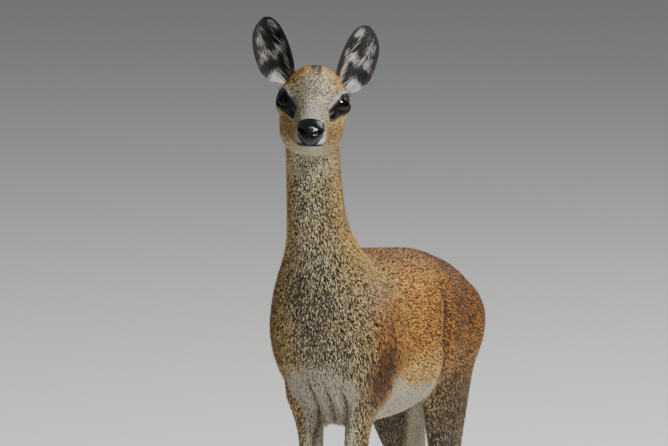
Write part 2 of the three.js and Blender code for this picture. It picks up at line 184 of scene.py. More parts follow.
def rings(rows, sides, inset=0.0):
    """Points round each section. At turn t the point lies cos(t) to the power 2 / fullness of the
    way up or down the long axis and sin(t) to the same power of the half width across, and inset
    draws it in."""
    ty, tz, ly, lz, half, x, level, full, low_full = rows.T[:, :, None]
    inset = np.broadcast_to(inset, len(rows))[:, None]
    turn = 2 * np.pi * np.arange(sides) / sides
    c, s = np.cos(turn), np.sin(turn)
    power = 2 / np.where(c > 0, full, low_full)
    span = np.hypot(ty - ly, tz - lz)
    reach = np.where(c > 0, (1 - level) * span, level * span) - inset
    along = np.sign(c) * np.abs(c) ** power * np.maximum(reach, 0.5)
    across = np.sign(s) * np.abs(s) ** power * np.maximum(half - inset, 0.5)
    y = ly + level * (ty - ly) + along * (ty - ly) / span
    z = lz + level * (tz - lz) + along * (tz - lz) / span
    return np.stack([x + across, y, z], axis=-1)


def sheath(grid):
    """Points, four-sided and three-sided faces of a closed surface over rings, turned outwards."""
    count, sides, _ = grid.shape
    points = np.concatenate([grid.reshape(-1, 3), grid[:1].mean(1), grid[-1:].mean(1)])
    i, k = np.meshgrid(np.arange(count - 1), np.arange(sides), indexing="ij")
    a, b = i * sides + k, i * sides + (k + 1) % sides
    quads = np.stack([a, b, b + sides, a + sides], axis=-1).reshape(-1, 4)
    k = np.arange(sides)
    nxt = (k + 1) % sides
    last = (count - 1) * sides
    first_fan = np.stack([np.full(sides, len(points) - 2), nxt, k], axis=-1)
    last_fan = np.stack([np.full(sides, len(points) - 1), last + k, last + nxt], axis=-1)
    fans = np.concatenate([first_fan, last_fan])
    p = points[quads]
    volume = np.einsum("ij,ij->", p[:, 0], np.cross(p[:, 1], p[:, 2]) + np.cross(p[:, 2], p[:, 3]))
    if volume < 0:
        quads, fans = quads[:, ::-1], fans[:, ::-1]
    return points, quads, fans


def triangles(quads, fans):
    """Every face as triangles."""
    return np.concatenate([quads[:, [0, 1, 2]], quads[:, [0, 2, 3]], fans])


def joined(surfaces):
    """The points, four-sided and three-sided faces of several surfaces as those of one."""
    points, quads, fans = zip(*surfaces)
    starts = np.cumsum([0] + [len(p) for p in points])
    moved = [[part + start for part, start in zip(faces, starts)] for faces in (quads, fans)]
    return [np.concatenate(parts) for parts in (points, *moved)]


def normals_of(points, tris):
    """At each point the mean of the directions that its triangles face."""
    p = points[tris]
    face = np.cross(p[:, 1] - p[:, 0], p[:, 2] - p[:, 0])
    total = np.zeros_like(points)
    for k in range(3):
        for axis in range(3):
            total[:, axis] += np.bincount(tris[:, k], face[:, axis], len(points))
    return unit(total)


def mesh_object(name, points, *face_sets):
    """A new object with this mesh, in metres, from arrays of points and faces."""
    mesh = bpy.data.meshes.new(name)
    mesh.vertices.add(len(points))
    mesh.vertices.foreach_set("co", np.ascontiguousarray(points, np.float32).ravel())
    corners = np.concatenate([faces.ravel() for faces in face_sets]).astype(np.int32)
    sizes = np.concatenate([np.full(len(faces), faces.shape[1]) for faces in face_sets])
    starts = np.concatenate([[0], np.cumsum(sizes)[:-1]]).astype(np.int32)
    mesh.loops.add(len(corners))
    mesh.loops.foreach_set("vertex_index", corners)
    mesh.polygons.add(len(sizes))
    mesh.polygons.foreach_set("loop_start", starts)
    mesh.update(calc_edges=True)
    made = bpy.data.objects.new(name, mesh)
    bpy.context.scene.collection.objects.link(made)
    return made


def read_out(items, key, width, kind):
    """A property of all of a mesh's items, as one row of numbers to an item."""
    values = np.empty(len(items) * width, kind)
    items.foreach_get(key, values)
    return values.reshape(-1, width)


def smooth(piece):
    """Soft shading on every face."""
    piece.data.polygons.foreach_set("use_smooth", np.ones(len(piece.data.polygons), bool))
    return piece


def paint(piece, name, colours):
    """A colour for each point, as an attribute of the mesh."""
    layer = piece.data.color_attributes.new(name, "FLOAT_COLOR", "POINT")
    full = np.concatenate([colours, np.ones((len(colours), 1))], axis=1)
    layer.data.foreach_set("color", full.astype(np.float32).ravel())


def number(piece, name, values):
    """A number for each point, as an attribute of the mesh."""
    layer = piece.data.attributes.new(name, "FLOAT", "POINT")
    layer.data.foreach_set("value", values.astype(np.float32))


# Trunk and neck from the rump to the top of the throat, and the tail.
SPINE = [
    oval((196, 438), (196, 398), 20),
    oval((191, 458), (189, 374), 35),
    oval((174, 475), (172, 358), 46),
    oval((143, 489), (142, 349), 55, full=2.1),
    oval((102, 503), (104, 342), 63, full=2.1),
    oval((54, 513), (56, 333), 72, level=0.48, full=2.1),
    oval((4, 519), (2, 323), 78, level=0.47, full=2.1),
    oval((-46, 524), (-52, 321), 78, level=0.47, full=2.1),
    oval((-86, 529), (-112, 326), 75, level=0.48, full=2.1),
    oval((-108, 534), (-164, 343), 72.5, level=0.45),
    oval((-125, 543), (-204, 386), 70, level=0.42, full=1.85, low_full=2.1),
    oval((-141, 561), (-225, 447), 57, level=0.4, full=1.85, low_full=2.1),
    oval((-154, 590), (-233, 512), 38, level=0.45),
    oval((-160, 626), (-236, 578), 33.5, x=-1.5),
    oval((-163, 660), (-236, 632), 32, x=-3),
    oval((-168, 688), (-232, 666), 31, x=-5),
    oval((-177, 705), (-224, 694), 25, x=-6),
]
TAIL = [
    oval((180, 458), (176, 436), 9),
    oval((200, 454), (188, 434), 11.5),
    oval((212, 436), (196, 424), 12.5),
    oval((216, 412), (200, 406), 11),
    oval((214, 390), (202, 388), 8),
    oval((210, 374), (204, 374), 3),
]

# Sections of a left leg from inside the trunk down to the hoof: the ends of each one's long axis,
# half its width and its distance from the middle line.
FORELEG = [
    ((-92, 486), (-150, 470), 16, 38),
    ((-88, 452), (-176, 436), 25, 41),
    ((-90, 408), (-182, 400), 22, 38),
    ((-98, 376), (-178, 364), 25, 36.5),
    ((-116, 346), (-174, 338), 19.5, 31),
    ((-126, 312), (-170, 312), 16, 28),
    ((-130, 268), (-166, 268), 14.5, 27.5),
    ((-135, 226), (-162, 226), 12, 28),
    ((-135, 198), (-164, 198), 13.2, 29),
    ((-136, 176), (-160, 176), 11, 30),
    ((-136, 136), (-157, 136), 9.8, 32),
    ((-135, 92), (-157, 92), 9.8, 35),
    ((-134, 66), (-160, 68), 11.6, 37),
    ((-142, 46), (-162, 48), 10, 38.5),
    ((-143, 31), (-168, 31), 13, 40),
    ((-145, 23), (-168, 23), 13, 40),
]
HAUNCH = [
    ((158, 458), (92, 466), 20, 34),
    ((176, 432), (72, 442), 30, 37),
    ((175, 398), (58, 402), 31, 37),
]
# Four sections: the heights of rear and front, half the width and the distance from the middle.
SHANK = [(362, 366, 24.5, 37), (326, 330, 20.5, 39), (292, 294, 17, 39), (258, 254, 14, 38.5)]
BELOW_SHANK = [
    ((153, 228), (117, 222), 11.2, 38),
    ((167, 208), (131, 196), 12.2, 38),
    ((161, 180), (132, 174), 10.6, 38),
    ((152, 136), (128, 134), 9.8, 39),
    ((147, 92), (124, 90), 9.8, 41),
    ((147, 66), (120, 68), 11.6, 42),
    ((137, 46), (117, 48), 10, 43),
    ((134, 31), (110, 31), 13, 44),
    ((132, 23), (110, 23), 13, 44),
]


def sections(table, x, y=0, z=0, across=0):
    """The sections of a table, moved along y and z, on one side of the line at across."""
    return [
        oval((top[0] + y, top[1] + z), (low[0] + y, low[1] + z), half, across + out * x)
        for top, low, half, out in table
    ]


def hindleg(x, back, shank):
    """A hind leg's sections. shank holds the rear and front of the four sections between haunch
    and hock, and back moves everything below them along y."""
    middle = [
        ((rear, top), (front, low), half, out)
        for (rear, front), (top, low, half, out) in zip(shank, SHANK)
    ]
    return sections(HAUNCH + middle, x) + sections(BELOW_SHANK, x, back)


LIMBS = {
    "foreleg_left": (1, sections(FORELEG, 1)),
    "foreleg_right": (-1, sections(FORELEG, -1)),
    "hindleg_left": (1, hindleg(1, -32, [(155, 37), (139, 25), (127, 37), (117, 54)])),
    "hindleg_right": (-1, hindleg(-1, 42, [(168, 44), (184, 42), (195, 64), (199, 106)])),
}


def cross_cut(forward, top, low, half, level=0.5, full=2.0, low_full=None):
    """A section straight across the head, at a distance in front of the eyes' line."""
    return oval((-forward, top), (-forward, low), half, 0, level, full, low_full)


# The head from its back to the front of the muzzle, and the bare nose over the muzzle's end.
SKULL = [
    cross_cut(-65.5, 5, -7, 5),
    cross_cut(-63, 14, -15, 15),
    cross_cut(-58, 25, -26, 24),
    cross_cut(-46, 35.5, -40, 32),
    cross_cut(-32, 42, -50, 36, 0.56, 2, 2.2),
    cross_cut(-18, 43.5, -56, 38, 0.57, 2, 2.4),
    cross_cut(-4, 40, -57, 38, 0.58, 2, 2.6),
    cross_cut(10, 32, -55.5, 35, 0.57, 2, 2.5),
    cross_cut(24, 22, -54, 29.5, 0.54, 2, 2.3),
    cross_cut(38, 11.5, -53, 24, 0.52, 2.1),
    cross_cut(52, 2.5, -52.5, 20.5, 0.5, 2.2),
    cross_cut(66, -5.5, -52.5, 18.6, 0.47, 2.3),
    cross_cut(78, -12.5, -52, 17.2, 0.45, 2.3),
    cross_cut(86, -17.5, -51, 15, 0.44, 2.2),
    cross_cut(91, -22.5, -48.5, 11, 0.42),
    cross_cut(93, -29, -45.5, 6, 0.42),
]
NOSE = [
    cross_cut(71, -14, -30, 9),
    cross_cut(76, -14, -36, 12.6, 0.62, 2, 1.7),
    cross_cut(83, -16.6, -42, 14.6, 0.62, 2, 1.6),
    cross_cut(90, -20.6, -45.5, 14, 0.6, 2, 1.6),
    cross_cut(95, -25, -45.5, 11, 0.58, 2, 1.7),
    cross_cut(97, -29.5, -42, 6, 0.55),
]

# The coat's depth over the skin, by height on the body and by place along the head.
BODY_DEPTH = ([0, 90, 200, 300, 380, 560, 620, 700], [0.8, 1.2, 1.8, 3.6, 5.6, 5.6, 4.6, 3.4])
FACE_DEPTH = ([-65, -20, 20, 60, 85], [2.2, 2.0, 1.3, 0.9, 0.3])

# How far the head's part of the core lies inside the head.
CORE_HEAD_DEPTH = 3.4

# The bare nose by height: half its width, and how far forward its rear edge lies.
BARE_HALF = ([-46, -42, -36, -28, -16], [5, 8.5, 12.5, 14, 12.5])
BARE_REAR = ([-46, -38, -28, -21, -15], [86, 82, 78, 79, 86])

# The crease between flank and haunch: its place along the trunk at five heights.
CREASE = ([340, 370, 414, 468, 500], [46, 20, 4, 24, 44])

# Swellings and hollows of both sides: the amount, the place and reach along the trunk, the height
# and reach in height, and the distances from the middle line where it starts and is full. Those of
# shoulder and elbow, and those of flank and haunch with their places counted from the crease.
SHOULDER_FORMS = [
    (3.0, -140, 34, 440, 50, 40, 66),
    (-3.6, -92, 13, 405, 50, 30, 60),
    (3.0, -112, 16, 376, 20, 34, 52),
]
CREASE_FORMS = [
    (-5.0, 0, 11, 408, 62, 30, 55),
    (3.0, 50, 34, 425, 44, 24, 48),
]

# Folds of loose skin lie in front of this line, and each is this wide.
BRISKET_REAR = -120
FOLD_WIDTH = 18

# The size of the blocks that fuse the core, in metres, and how often it is smoothed.
CORE_BLOCK = 0.0036
CORE_ROUNDS = 14


def body_depth(z):
    """How far the skin lies under the coat's surface at a height."""
    return np.interp(z, *BODY_DEPTH)


def mouth_line(forward):
    """The height of the mouth, which rises by 7.5 mm over the 26 mm behind its front."""
    return -45.4 + 7.5 * ramp(90 - forward, 0, 26)


def under_nose(p, margin):
    """True where a point of the head lies within the bare nose, drawn in by a margin."""
    forward, side, z = -p[:, 1], np.abs(p[:, 0]), p[:, 2]
    half = np.interp(z, *BARE_HALF) - margin
    back = np.interp(z, *BARE_REAR) + margin
    return (forward > back) & (side < half) & (z > -45.5 + margin)


def gland_axes(p):
    """How far along and how far across the gland's slope a point of the head lies."""
    ahead, up = -p[:, 1] - 40, p[:, 2] + 12.5
    c, s = np.cos(np.radians(24)), np.sin(np.radians(24))
    return up * s - ahead * c, ahead * s + up * c


def eye_axes(x):
    """The middle of an eye, the way it looks, the line from its inner to its outer corner, and its
    upward line."""
    out = unit(np.array([0.82 * x, -0.53, 0.2]))
    along = np.array([0.36 * x, 0.77, 0.53])
    slant = unit(along - along @ out * out)
    rise = -x * np.cross(slant, out)
    return EYE_CENTRE * [x, 1, 1], out, slant, unit(rise)


# The almond between the lids, in proportion: how far its plane lies in front of the eye's middle,
# its half length, its heights above and below the corners' line, and the part of them that is
# lost towards the corners.
ALMOND_AHEAD, ALMOND_HALF, ALMOND_TOP, ALMOND_LOW, ALMOND_LOSS = 0.72, 1.2, 0.66, 0.56, 0.2

# A direction that faces the plane by less than the first value counts as this far away.
FACING_LEAST = 0.05
FAR_FROM_ALMOND = 9.0


def almond_share(aim, x):
    """How far a direction from the middle of the eye lies from the almond's middle, where its
    edge is 1: the direction is thrown on a plane in front, then divided by the almond's reach."""
    _, out, slant, rise = eye_axes(x)
    ahead = np.maximum(aim @ out, FACING_LEAST)
    across = aim @ slant / ahead * ALMOND_AHEAD / ALMOND_HALF
    up = aim @ rise / ahead * ALMOND_AHEAD
    up = up / np.where(up > 0, ALMOND_TOP, ALMOND_LOW)
    squeeze = 1 - ALMOND_LOSS * across**2 / (across**2 + up**2 + 1e-9)
    share = np.hypot(across, up / squeeze)
    return np.where(aim @ out > FACING_LEAST, share, FAR_FROM_ALMOND)


def almond_edge(turn, x):
    """Directions from the middle of the eye to the almond's edge, at turns from its outer corner."""
    _, out, slant, rise = eye_axes(x)
    c, s = np.cos(turn), np.sin(turn)
    reach = np.where(s > 0, ALMOND_TOP, ALMOND_LOW) * (1 - ALMOND_LOSS * c**2)
    return unit(ALMOND_AHEAD * out + ALMOND_HALF * c * slant + s * reach * rise)


def around_head(q):
    """True where a point of the head's frame lies within 80 mm of the middle of the head."""
    return np.linalg.norm(q - [0, 10, -20], axis=1) < 80


# Skin.


def body_core():
    """Trunk and neck, legs, tail and the inside of the head, fused and smoothed to one surface.

    Each part is a stack of rings drawn in by the coat's depth. A voxel remesh fuses them, and each
    point then moves to the mean of its neighbours several times, most where the limbs join. Under
    the face it is drawn in sideways, clear of the eye sockets."""
    stacks = [(SPINE, 72, 110), (TAIL, 28, 36)] + [(rows, 40, 120) for _, rows in LIMBS.values()]
    parts = []
    for rows, sides, steps in stacks:
        fine = filled(rows, steps)
        parts.append(rings(fine, sides, body_depth((fine[:, 1] + fine[:, 3]) / 2)))
    parts.append(from_head(rings(filled(SKULL[:10], 60), 60, CORE_HEAD_DEPTH)))
    points, quads, fans = joined([sheath(grid) for grid in parts])
    core = mesh_object("core", placed(points), quads, fans)
    remesh = core.modifiers.new("fuse", "REMESH")
    remesh.mode = "VOXEL"
    remesh.voxel_size = CORE_BLOCK
    graph = bpy.context.evaluated_depsgraph_get()
    fused = bpy.data.meshes.new_from_object(core.evaluated_get(graph))
    bpy.data.objects.remove(core)
    p = read_out(fused.vertices, "co", 3, np.float32).astype(float) * 1000 - SHIFT
    ends = read_out(fused.edges, "vertices", 2, np.int32)
    quads = read_out(fused.loops, "vertex_index", 1, np.int32).reshape(-1, 4)
    bpy.data.meshes.remove(fused)
    both = np.concatenate([ends, ends[:, ::-1]])
    links = np.bincount(both[:, 0], minlength=len(p))
    strength = 0.12 + 0.5 * ramp(p[:, 2], 250, 350)
    for _ in range(CORE_ROUNDS):
        mean = [np.bincount(both[:, 0], p[both[:, 1], k], len(p)) / links for k in range(3)]
        p += (np.stack(mean, axis=1) - p) * strength[:, None]
    q = to_head(p)
    face = around_head(q) * ramp(-q[:, 1], -18, -6)
    face = face * ramp(q[:, 2], -42, -30)
    moved = face > 0
    q[:, 0] *= 1 - 0.22 * face
    p[moved] = from_head(q[moved])
    return p, quads


def body_forms(p, n):
    """How far each body point moves out: folds of loose skin on the brisket, the swellings and
    hollows of both sides, the ridge of the back, the flatter sides of the lower legs, the cleft
    between the toes and a slight unevenness."""
    x, y, z = p.T
    side = np.abs(x)
    front = ramp(-n[:, 1], 0.1, 0.6)
    out = np.zeros(len(p))
    crease = np.interp(z, *CREASE)
    out += brisket_folds(p) * front * (y < BRISKET_REAR)
    for start, forms in ((0, SHOULDER_FORMS), (crease, CREASE_FORMS)):
        for amount, along, long, height, tall, none, full in forms:
            form = amount * bell(y, start + along, long) * bell(z, height, tall)
            out += form * ramp(side, none, full)
    out += 1.6 * bell(x, 0, 9) * ramp(n[:, 2], 0.5, 0.9) * ramp(z, 480, 500)
    out -= 1.2 * bell(side, 17, 8) * ramp(n[:, 2], 0.4, 0.8) * ramp(z, 480, 500)
    low = ramp(z, 190, 170) * ramp(z, 70, 86)
    out -= 1.3 * low * bell(np.abs(n[:, 0]), 1, 0.35)
    toes = ramp(z, 50, 34)
    out -= 2.2 * toes * ramp(np.abs(n[:, 1]), 0.8, 0.97)
    out += 0.8 * (cloud(p, 34, 11) - 0.5) * ramp(z, 300, 360)
    return out


def brisket_folds(p):
    """Loose skin between the forelegs: rounded folds that wave a little, with creases between them
    that start at three heights below the chest, every second one deeper."""
    x, y, z = p.T
    place = (x + 3 + 0.3 * (y + 205) + 4 * np.sin(z / 15)) / FOLD_WIDTH
    fold = np.round(place)
    across = (place - fold) * FOLD_WIDTH
    top = 404 - 7 * (fold % 3)
    deep = 0.55 + 0.45 * ((fold + 1) % 2)
    within = ramp(z, top, top - 26) * ramp(np.abs(x - 2), 34, 20)
    swell = 2.2 * np.cos(across / FOLD_WIDTH * 2 * np.pi + np.pi)
    return within * (swell - 3.4 * deep * bell(across, 0, 2.8))


def eye_mound(p, x):
    """Points of the head moved on the line from the middle of an eye: out to a low mound and to a
    lid that hugs the eyeball, and behind the eyeball inside the almond."""
    middle, out, slant, rise = eye_axes(x)
    q = p - middle
    reach = np.linalg.norm(q, axis=1)
    d = q / reach[:, None]
    facing = ramp(d @ out, -0.1, 0.3)
    mound = 1 / np.sqrt((d @ slant / 23.5) ** 2 + (d @ rise / 19.5) ** 2 + (d @ out / 11.3) ** 2)
    raised = smooth_max(reach, mound - 0.6, 3.0)
    share = almond_share(d, x)
    upper = ramp(d @ rise, -0.1, 0.25)
    lid = EYE_RADIUS + 2.0 + 0.5 * upper - 10 * np.maximum(share - 1.05, 0) ** 2
    raised = np.where(share < 2, smooth_max(raised, lid, 1.2), raised)
    raised -= 0.8 * bell(share, 1.5, 0.07) * upper
    raised -= 0.5 * bell(share, 1.4, 0.06) * (1 - upper)
    raised = raised + (EYE_RADIUS - 2.0 - raised) * ramp(share, 1.0, 0.9)
    moved = reach + (raised - reach) * facing
    return middle + d * moved[:, None]


def face_dips(p, forward):
    """How far the head's surface sinks: the gland's slot, the line of the mouth between its lips,
    the hollow of the cheek before the jaw's swelling, and the middle of the forehead."""
    along, across = gland_axes(p)
    slot = np.exp(-(((along / 8.5) ** 2 + (across / 3.4) ** 2) ** 1.5))
    dip = 2.6 * slot * (np.abs(p[:, 0]) > 10)
    lips = ramp(forward, 50, 58) * ramp(forward, 94, 90)
    line = p[:, 2] - mouth_line(forward)
    dip += 1.7 * lips * bell(line, 0, 0.8)
    dip -= 0.9 * lips * bell(line, 3.2, 2.4) + 0.7 * lips * bell(line, -2.6, 2.0)
    dip += 1.3 * bell(forward, 40, 16) * bell(p[:, 2], -30, 10)
    dip -= 1.6 * bell(forward, 6, 15) * bell(p[:, 2], -36, 12)
    dip += 0.7 * bell(p[:, 0], 0, 4) * bell(forward, 14, 26) * (p[:, 2] > 0)
    return dip


def head_surface():
    """The head's skin as rings across it, in its own frame: the skull's ovals drawn in by the
    coat's depth, with the mounds and lids of the eyes, the dips of the face, and the end of the
    muzzle drawn back under the bare nose."""
    rows = spaced(SKULL, 226)
    grid = rings(rows, 204, np.interp(-rows[:, 0], *FACE_DEPTH))
    aim = unit(grid - grid.mean(1, keepdims=True)).reshape(-1, 3)
    p = grid.reshape(-1, 3)
    forward = -p[:, 1]
    for x in SIDES:
        p = eye_mound(p, x)
    p = p - aim * face_dips(p, forward)[:, None]
    p[:, 1] += 7.0 * under_nose(p, 1.6)
    return p.reshape(grid.shape)


def ear_surface(x, along=70, across=34):
    """An ear as rings round its leaf, first its back and then its cup, with each point's share u
    from the inner to the outer edge, its share v of the height, and 1 on the cup.

    The leaf's half breadth grows with a sine up to its widest line and falls in a rounded curve to
    the tip. It is rolled round a line along its length and bends back with the square of v."""

    def breadth(v, widest, base):
        low = base + (1 - base) * np.sin(np.pi * np.clip(v / widest, 0, 1) / 2) ** 0.62
        high = np.clip(1 - np.clip((v - widest) / (1 - widest), 0, 1) ** 2.7, 0, 1) ** 0.5
        return np.where(v < widest, low, high)

    v = np.sin(np.pi * np.linspace(0, 1, along) / 2)[:, None] ** 1.15
    u = np.linspace(-1, 1, across)[None, :]
    u = np.concatenate([u, u[:, ::-1]], axis=1)
    cup = np.concatenate([np.zeros((1, across)), np.ones((1, across))], axis=1)
    half = np.where(u > 0, EAR_OUTER * breadth(v, 0.36, 0.3), EAR_INNER * breadth(v, 0.42, 0.62)) - 0.5
    curl = 1.2 - 0.55 * v
    flat = np.maximum(half, 0.6) / np.sin(curl)
    wall = cup * np.minimum(EAR_WALL * (1.1 - 0.5 * v), flat * 0.6)
    wall = wall + 0.9 * cup * bell(u, 0.25, 0.14) * ramp(v, 0.1, 0.4) * ramp(v, 0.95, 0.6)
    wall = wall * (1 - np.abs(u) ** 12)
    grid = np.stack(
        [
            np.sin(u * curl) * (flat - wall),
            -(1 - np.cos(u * curl)) * flat - wall - 7 * v**2,
            EAR_LENGTH * v - 0.5 * v + 0 * u,
        ],
        axis=-1,
    )
    turn = turned("y", EAR_TILT[x]) @ turned("x", EAR_PITCH) @ turned("z", EAR_SPIN * x)
    grid = (grid * [x, 1, 1]) @ turn.T + np.array([28 * x, 38, EAR_ROOT_Z[x]])
    return grid, np.broadcast_to(u, grid.shape[:2]), np.broadcast_to(v, grid.shape[:2]), cup


# Markings. pale and dark are the two tones of the speckle and share is the part that is dark.

OCHRE = tone(220, 184, 110)
ORANGE = tone(212, 142, 54)
RUST = tone(158, 101, 40)
SILVER = tone(178, 172, 146)
CREAM = tone(194, 187, 163)
WHITE = tone(222, 219, 212)
LAVENDER = tone(190, 186, 186)
UMBER = tone(84, 58, 34)
SOOT = tone(38, 30, 21)
INK = tone(10, 9, 9)
GREY = tone(118, 114, 108)
FAWN = tone(204, 184, 158)
EAR_RED = tone(58, 36, 30)

# The dark tone's share where there is no marking, and its limits.
DARK_SHARE = 0.47
SHARE_LIMITS = (0.01, 0.85)

# The grey stripe down the throat by height: its middle and its width.
THROAT_MIDDLE = ([420, 560, 690], [16, 7, 2])
THROAT_WIDTH = ([400, 470, 560, 640, 690], [47, 42, 22, 17, 20])

# How far out the brisket's white reaches by height, and how high the belly's by place along it.
BRISKET_REACH = ([330, 360, 395], [30, 38, 46])
BELLY_EDGE = ([-126, -70, -5, 40], [390, 369, 367, 350])

# Places on the cup of an ear: share across, share up, reach each way, tone, part that is black.
EAR_SPOTS = [
    (0.45, 0.7, 0.42, 0.16, tone(134, 131, 126), 0.74),
    (-0.5, 0.76, 0.3, 0.14, tone(184, 180, 172), 0.6),
    (0.0, 0.68, 0.24, 0.16, INK, 0.98),
    (-0.72, 0.6, 0.2, 0.12, SOOT, 0.95),
    (-0.4, 0.45, 0.5, 0.08, tone(184, 180, 175), 0.46),
    (0.6, 0.42, 0.34, 0.08, tone(156, 152, 147), 0.6),
    (0.1, 0.55, 0.22, 0.1, INK, 0.97),
    (-0.15, 0.24, 0.24, 0.18, INK, 0.98),
    (0.55, 0.27, 0.6, 0.1, INK, 1.05),
    (0.7, 0.06, 0.5, 0.1, tone(176, 172, 170), 0.05),
    (-0.5, 0.18, 0.16, 0.2, tone(150, 145, 140), 0.4),
    (-0.85, 0.24, 0.2, 0.2, EAR_RED, 0.8),
]


def mixed(colours, other, weight):
    """Colours drawn towards another one by a weight from 0 to 1."""
    return colours + (other - colours) * np.clip(weight, 0, 1)[:, None]


class Markings:
    """A pale tone, a dark tone and the dark one's share at each of a set of points."""

    def __init__(self, count):
        self.pale = np.tile(OCHRE, (count, 1))
        self.dark = np.tile(SOOT, (count, 1))
        self.share = np.full(count, DARK_SHARE)

    def tint(self, weight, colour, strength=1.0, darker=0.0):
        """Draws the pale tone towards a colour by weight times strength, and adds weight times
        darker to the dark tone's share."""
        self.pale = mixed(self.pale, colour, weight * strength)
        self.share = self.share + weight * darker

    def tint_dark(self, weight, colour, strength=1.0):
        """Draws the dark tone towards a colour by weight times strength."""
        self.dark = mixed(self.dark, colour, weight * strength)

    def blacken(self, weight):
        """Draws both tones to black by a weight."""
        self.tint(weight, INK)
        self.tint_dark(weight, INK)

    def thin(self, weight, part):
        """Takes this part of the dark tone's share away, by a weight."""
        self.share = self.share * (1 - part * weight)

    def result(self):
        """Both tones and the share, kept within its limits."""
        return self.pale, self.dark, np.clip(self.share, *SHARE_LIMITS)


def trunk_marks(marks, p, n, patch):
    """The orange flank with its golden lower part, the rusty haunch, painted shade in the crease between
    them and the browner line of the back."""
    y, z = p[:, 1], p[:, 2]
    side = np.abs(p[:, 0])
    crease = np.interp(z, *CREASE)
    flank = ramp(y, -196, -160) * ramp(side, 46, 66) * ramp(z, 500, 470)
    flank = np.maximum(flank, ramp(y, -120, -80)) * ramp(z, 335, 385)
    marks.tint(flank, ORANGE, 0.9 + 0.7 * patch)
    lower = flank * ramp(z, 425, 385) * ramp(y, -125, -90)
    marks.tint(lower * ramp(y, crease + 6, crease - 14), OCHRE, 0.75, -0.1)
    haunch = ramp(y, crease - 4, crease + 45) * ramp(z, 290, 350)
    marks.tint(haunch, RUST, 0.5 + 0.4 * ramp(z, 380, 450), 0.08)
    # Painted shade: the crease between flank and haunch drawn towards dark rust, with more dark speckle.
    crease_shade = bell(y, crease, 9) * bell(z, 425, 62) * ramp(side, 30, 50)
    marks.tint(crease_shade, RUST * 0.5, 0.6, 0.3)
    ridge = ramp(n[:, 2], 0.45, 0.9) * ramp(z, 470, 500)
    marks.tint(ridge, UMBER * 2.2, 0.35, 0.12)


def front_marks(marks, p, n, fine):
    """The grey stripe down throat and chest, the pale band before the shoulder, the dark rust of the
    elbow, a painted shade that browns and darkens the right side, the dark nape and the cream top of the
    throat."""
    x, y, z = p.T
    side = np.abs(x)
    ahead = ramp(-n[:, 1], -0.05, 0.5) * ramp(y, -95, -135)
    middle = np.interp(z, *THROAT_MIDDLE)
    width = np.interp(z, *THROAT_WIDTH)
    throat = ahead * np.exp(-(np.abs((x - middle) / width) ** 2.6))
    marks.tint(throat, SILVER, 0.85 + 0.5 * fine, 0.04 + 0.1 * bell(z, 470, 60))
    band = bell(side, 58, 13) * bell(z, 480, 34) * bell(y, -165, 40)
    marks.tint(band, FAWN, 0.5, -0.03)
    reach = np.hypot((y + 147) / 30, (z - 390) / 62)
    elbow = ramp(reach, 1.2, 0.1) * ramp(side, 38, 50) * ramp(z, 330, 350)
    marks.tint(elbow, RUST * 0.62, 0.95, 0.1)
    # Painted shade: the right side of chest and trunk drawn towards a darker rust, with more dark
    # speckle.
    marks.tint(ramp(x, -22, -60) * ramp(z, 330, 380), RUST * 0.85, 0.6, 0.1)
    marks.tint(ramp(n[:, 1], 0, 0.6) * ramp(z, 540, 580), RUST, 0.45, 0.08)
    upper = ramp(z, 604, 632) * ramp(-n[:, 1], -0.3, 0.3) * bell(x, 4, 30)
    marks.tint(upper, CREAM, 0.7, -0.3)


def white_parts(p, n):
    """How far each point lies in the white of the brisket, and in any white: the brisket down to the
    fronts of the forelegs, the belly up to a line on the flank, and the legs' inner faces, where the
    front of the right hind leg's is kept out of the white as painted shade."""
    x, y, z = p.T
    side = np.abs(x)
    top = 408 - 20 * (x / 38) ** 2
    brisket = ramp(z - top, 14, -14) * ramp(y, -90, -125)
    outer = np.interp(z, *BRISKET_REACH) - 7 * (x < 0) * ramp(z, 375, 345)
    brisket = brisket * ramp(side, outer + 4, outer - 4)
    edge = np.interp(y, *BELLY_EDGE)
    belly = ramp(z - edge, 8, -8) * ramp(y + 0.42 * (z - 335), -112, -98)
    belly = belly * ramp(y, 38, 10) * ramp(z, 300, 318)
    belly += ramp(-n[:, 2], 0.55, 0.8) * ramp(y, -95, -60) * (z > 320)
    split = np.where((x < 0) & (y < 0), 27, 34)
    inner = ramp(z, 400, 370) * ramp(side - split, 5, -5) * ramp(z, 90, 200)
    facing = -n[:, 0] * np.sign(x)
    inner = inner * np.where(y > 0, ramp(facing, 0.4, 0.75) * ramp(z, 150, 230), 1)
    # Painted shade: the front of the right hind leg's inner face is kept out of the white.
    inner = inner * np.where((y > 0) & (x < 0), ramp(y, 106, 130), 1)
    return brisket, np.clip(brisket + belly + inner, 0, 1)


def leg_marks(marks, p, n, white):
    """Outside the white, greyer hind legs and forelegs of gold and silver; feet dark brown."""
    x, y, z = p.T
    leg = np.where(y > 0, ramp(z, 410, 290), ramp(z, 372, 330)) * (1 - white)
    marks.tint(leg * (y > 0), GREY, 0.3 + 0.4 * ramp(-n[:, 1], -0.6, 0.3), 0.08)
    marks.tint(leg * (y < 0), OCHRE, 0.5 * ramp(x, 24, 40))
    marks.tint(leg * (y < 0), SILVER, 0.25)
    marks.share = marks.share + 0.1 * leg
    marks.tint(ramp(z, 80, 34), UMBER, 0.8, 0.2)


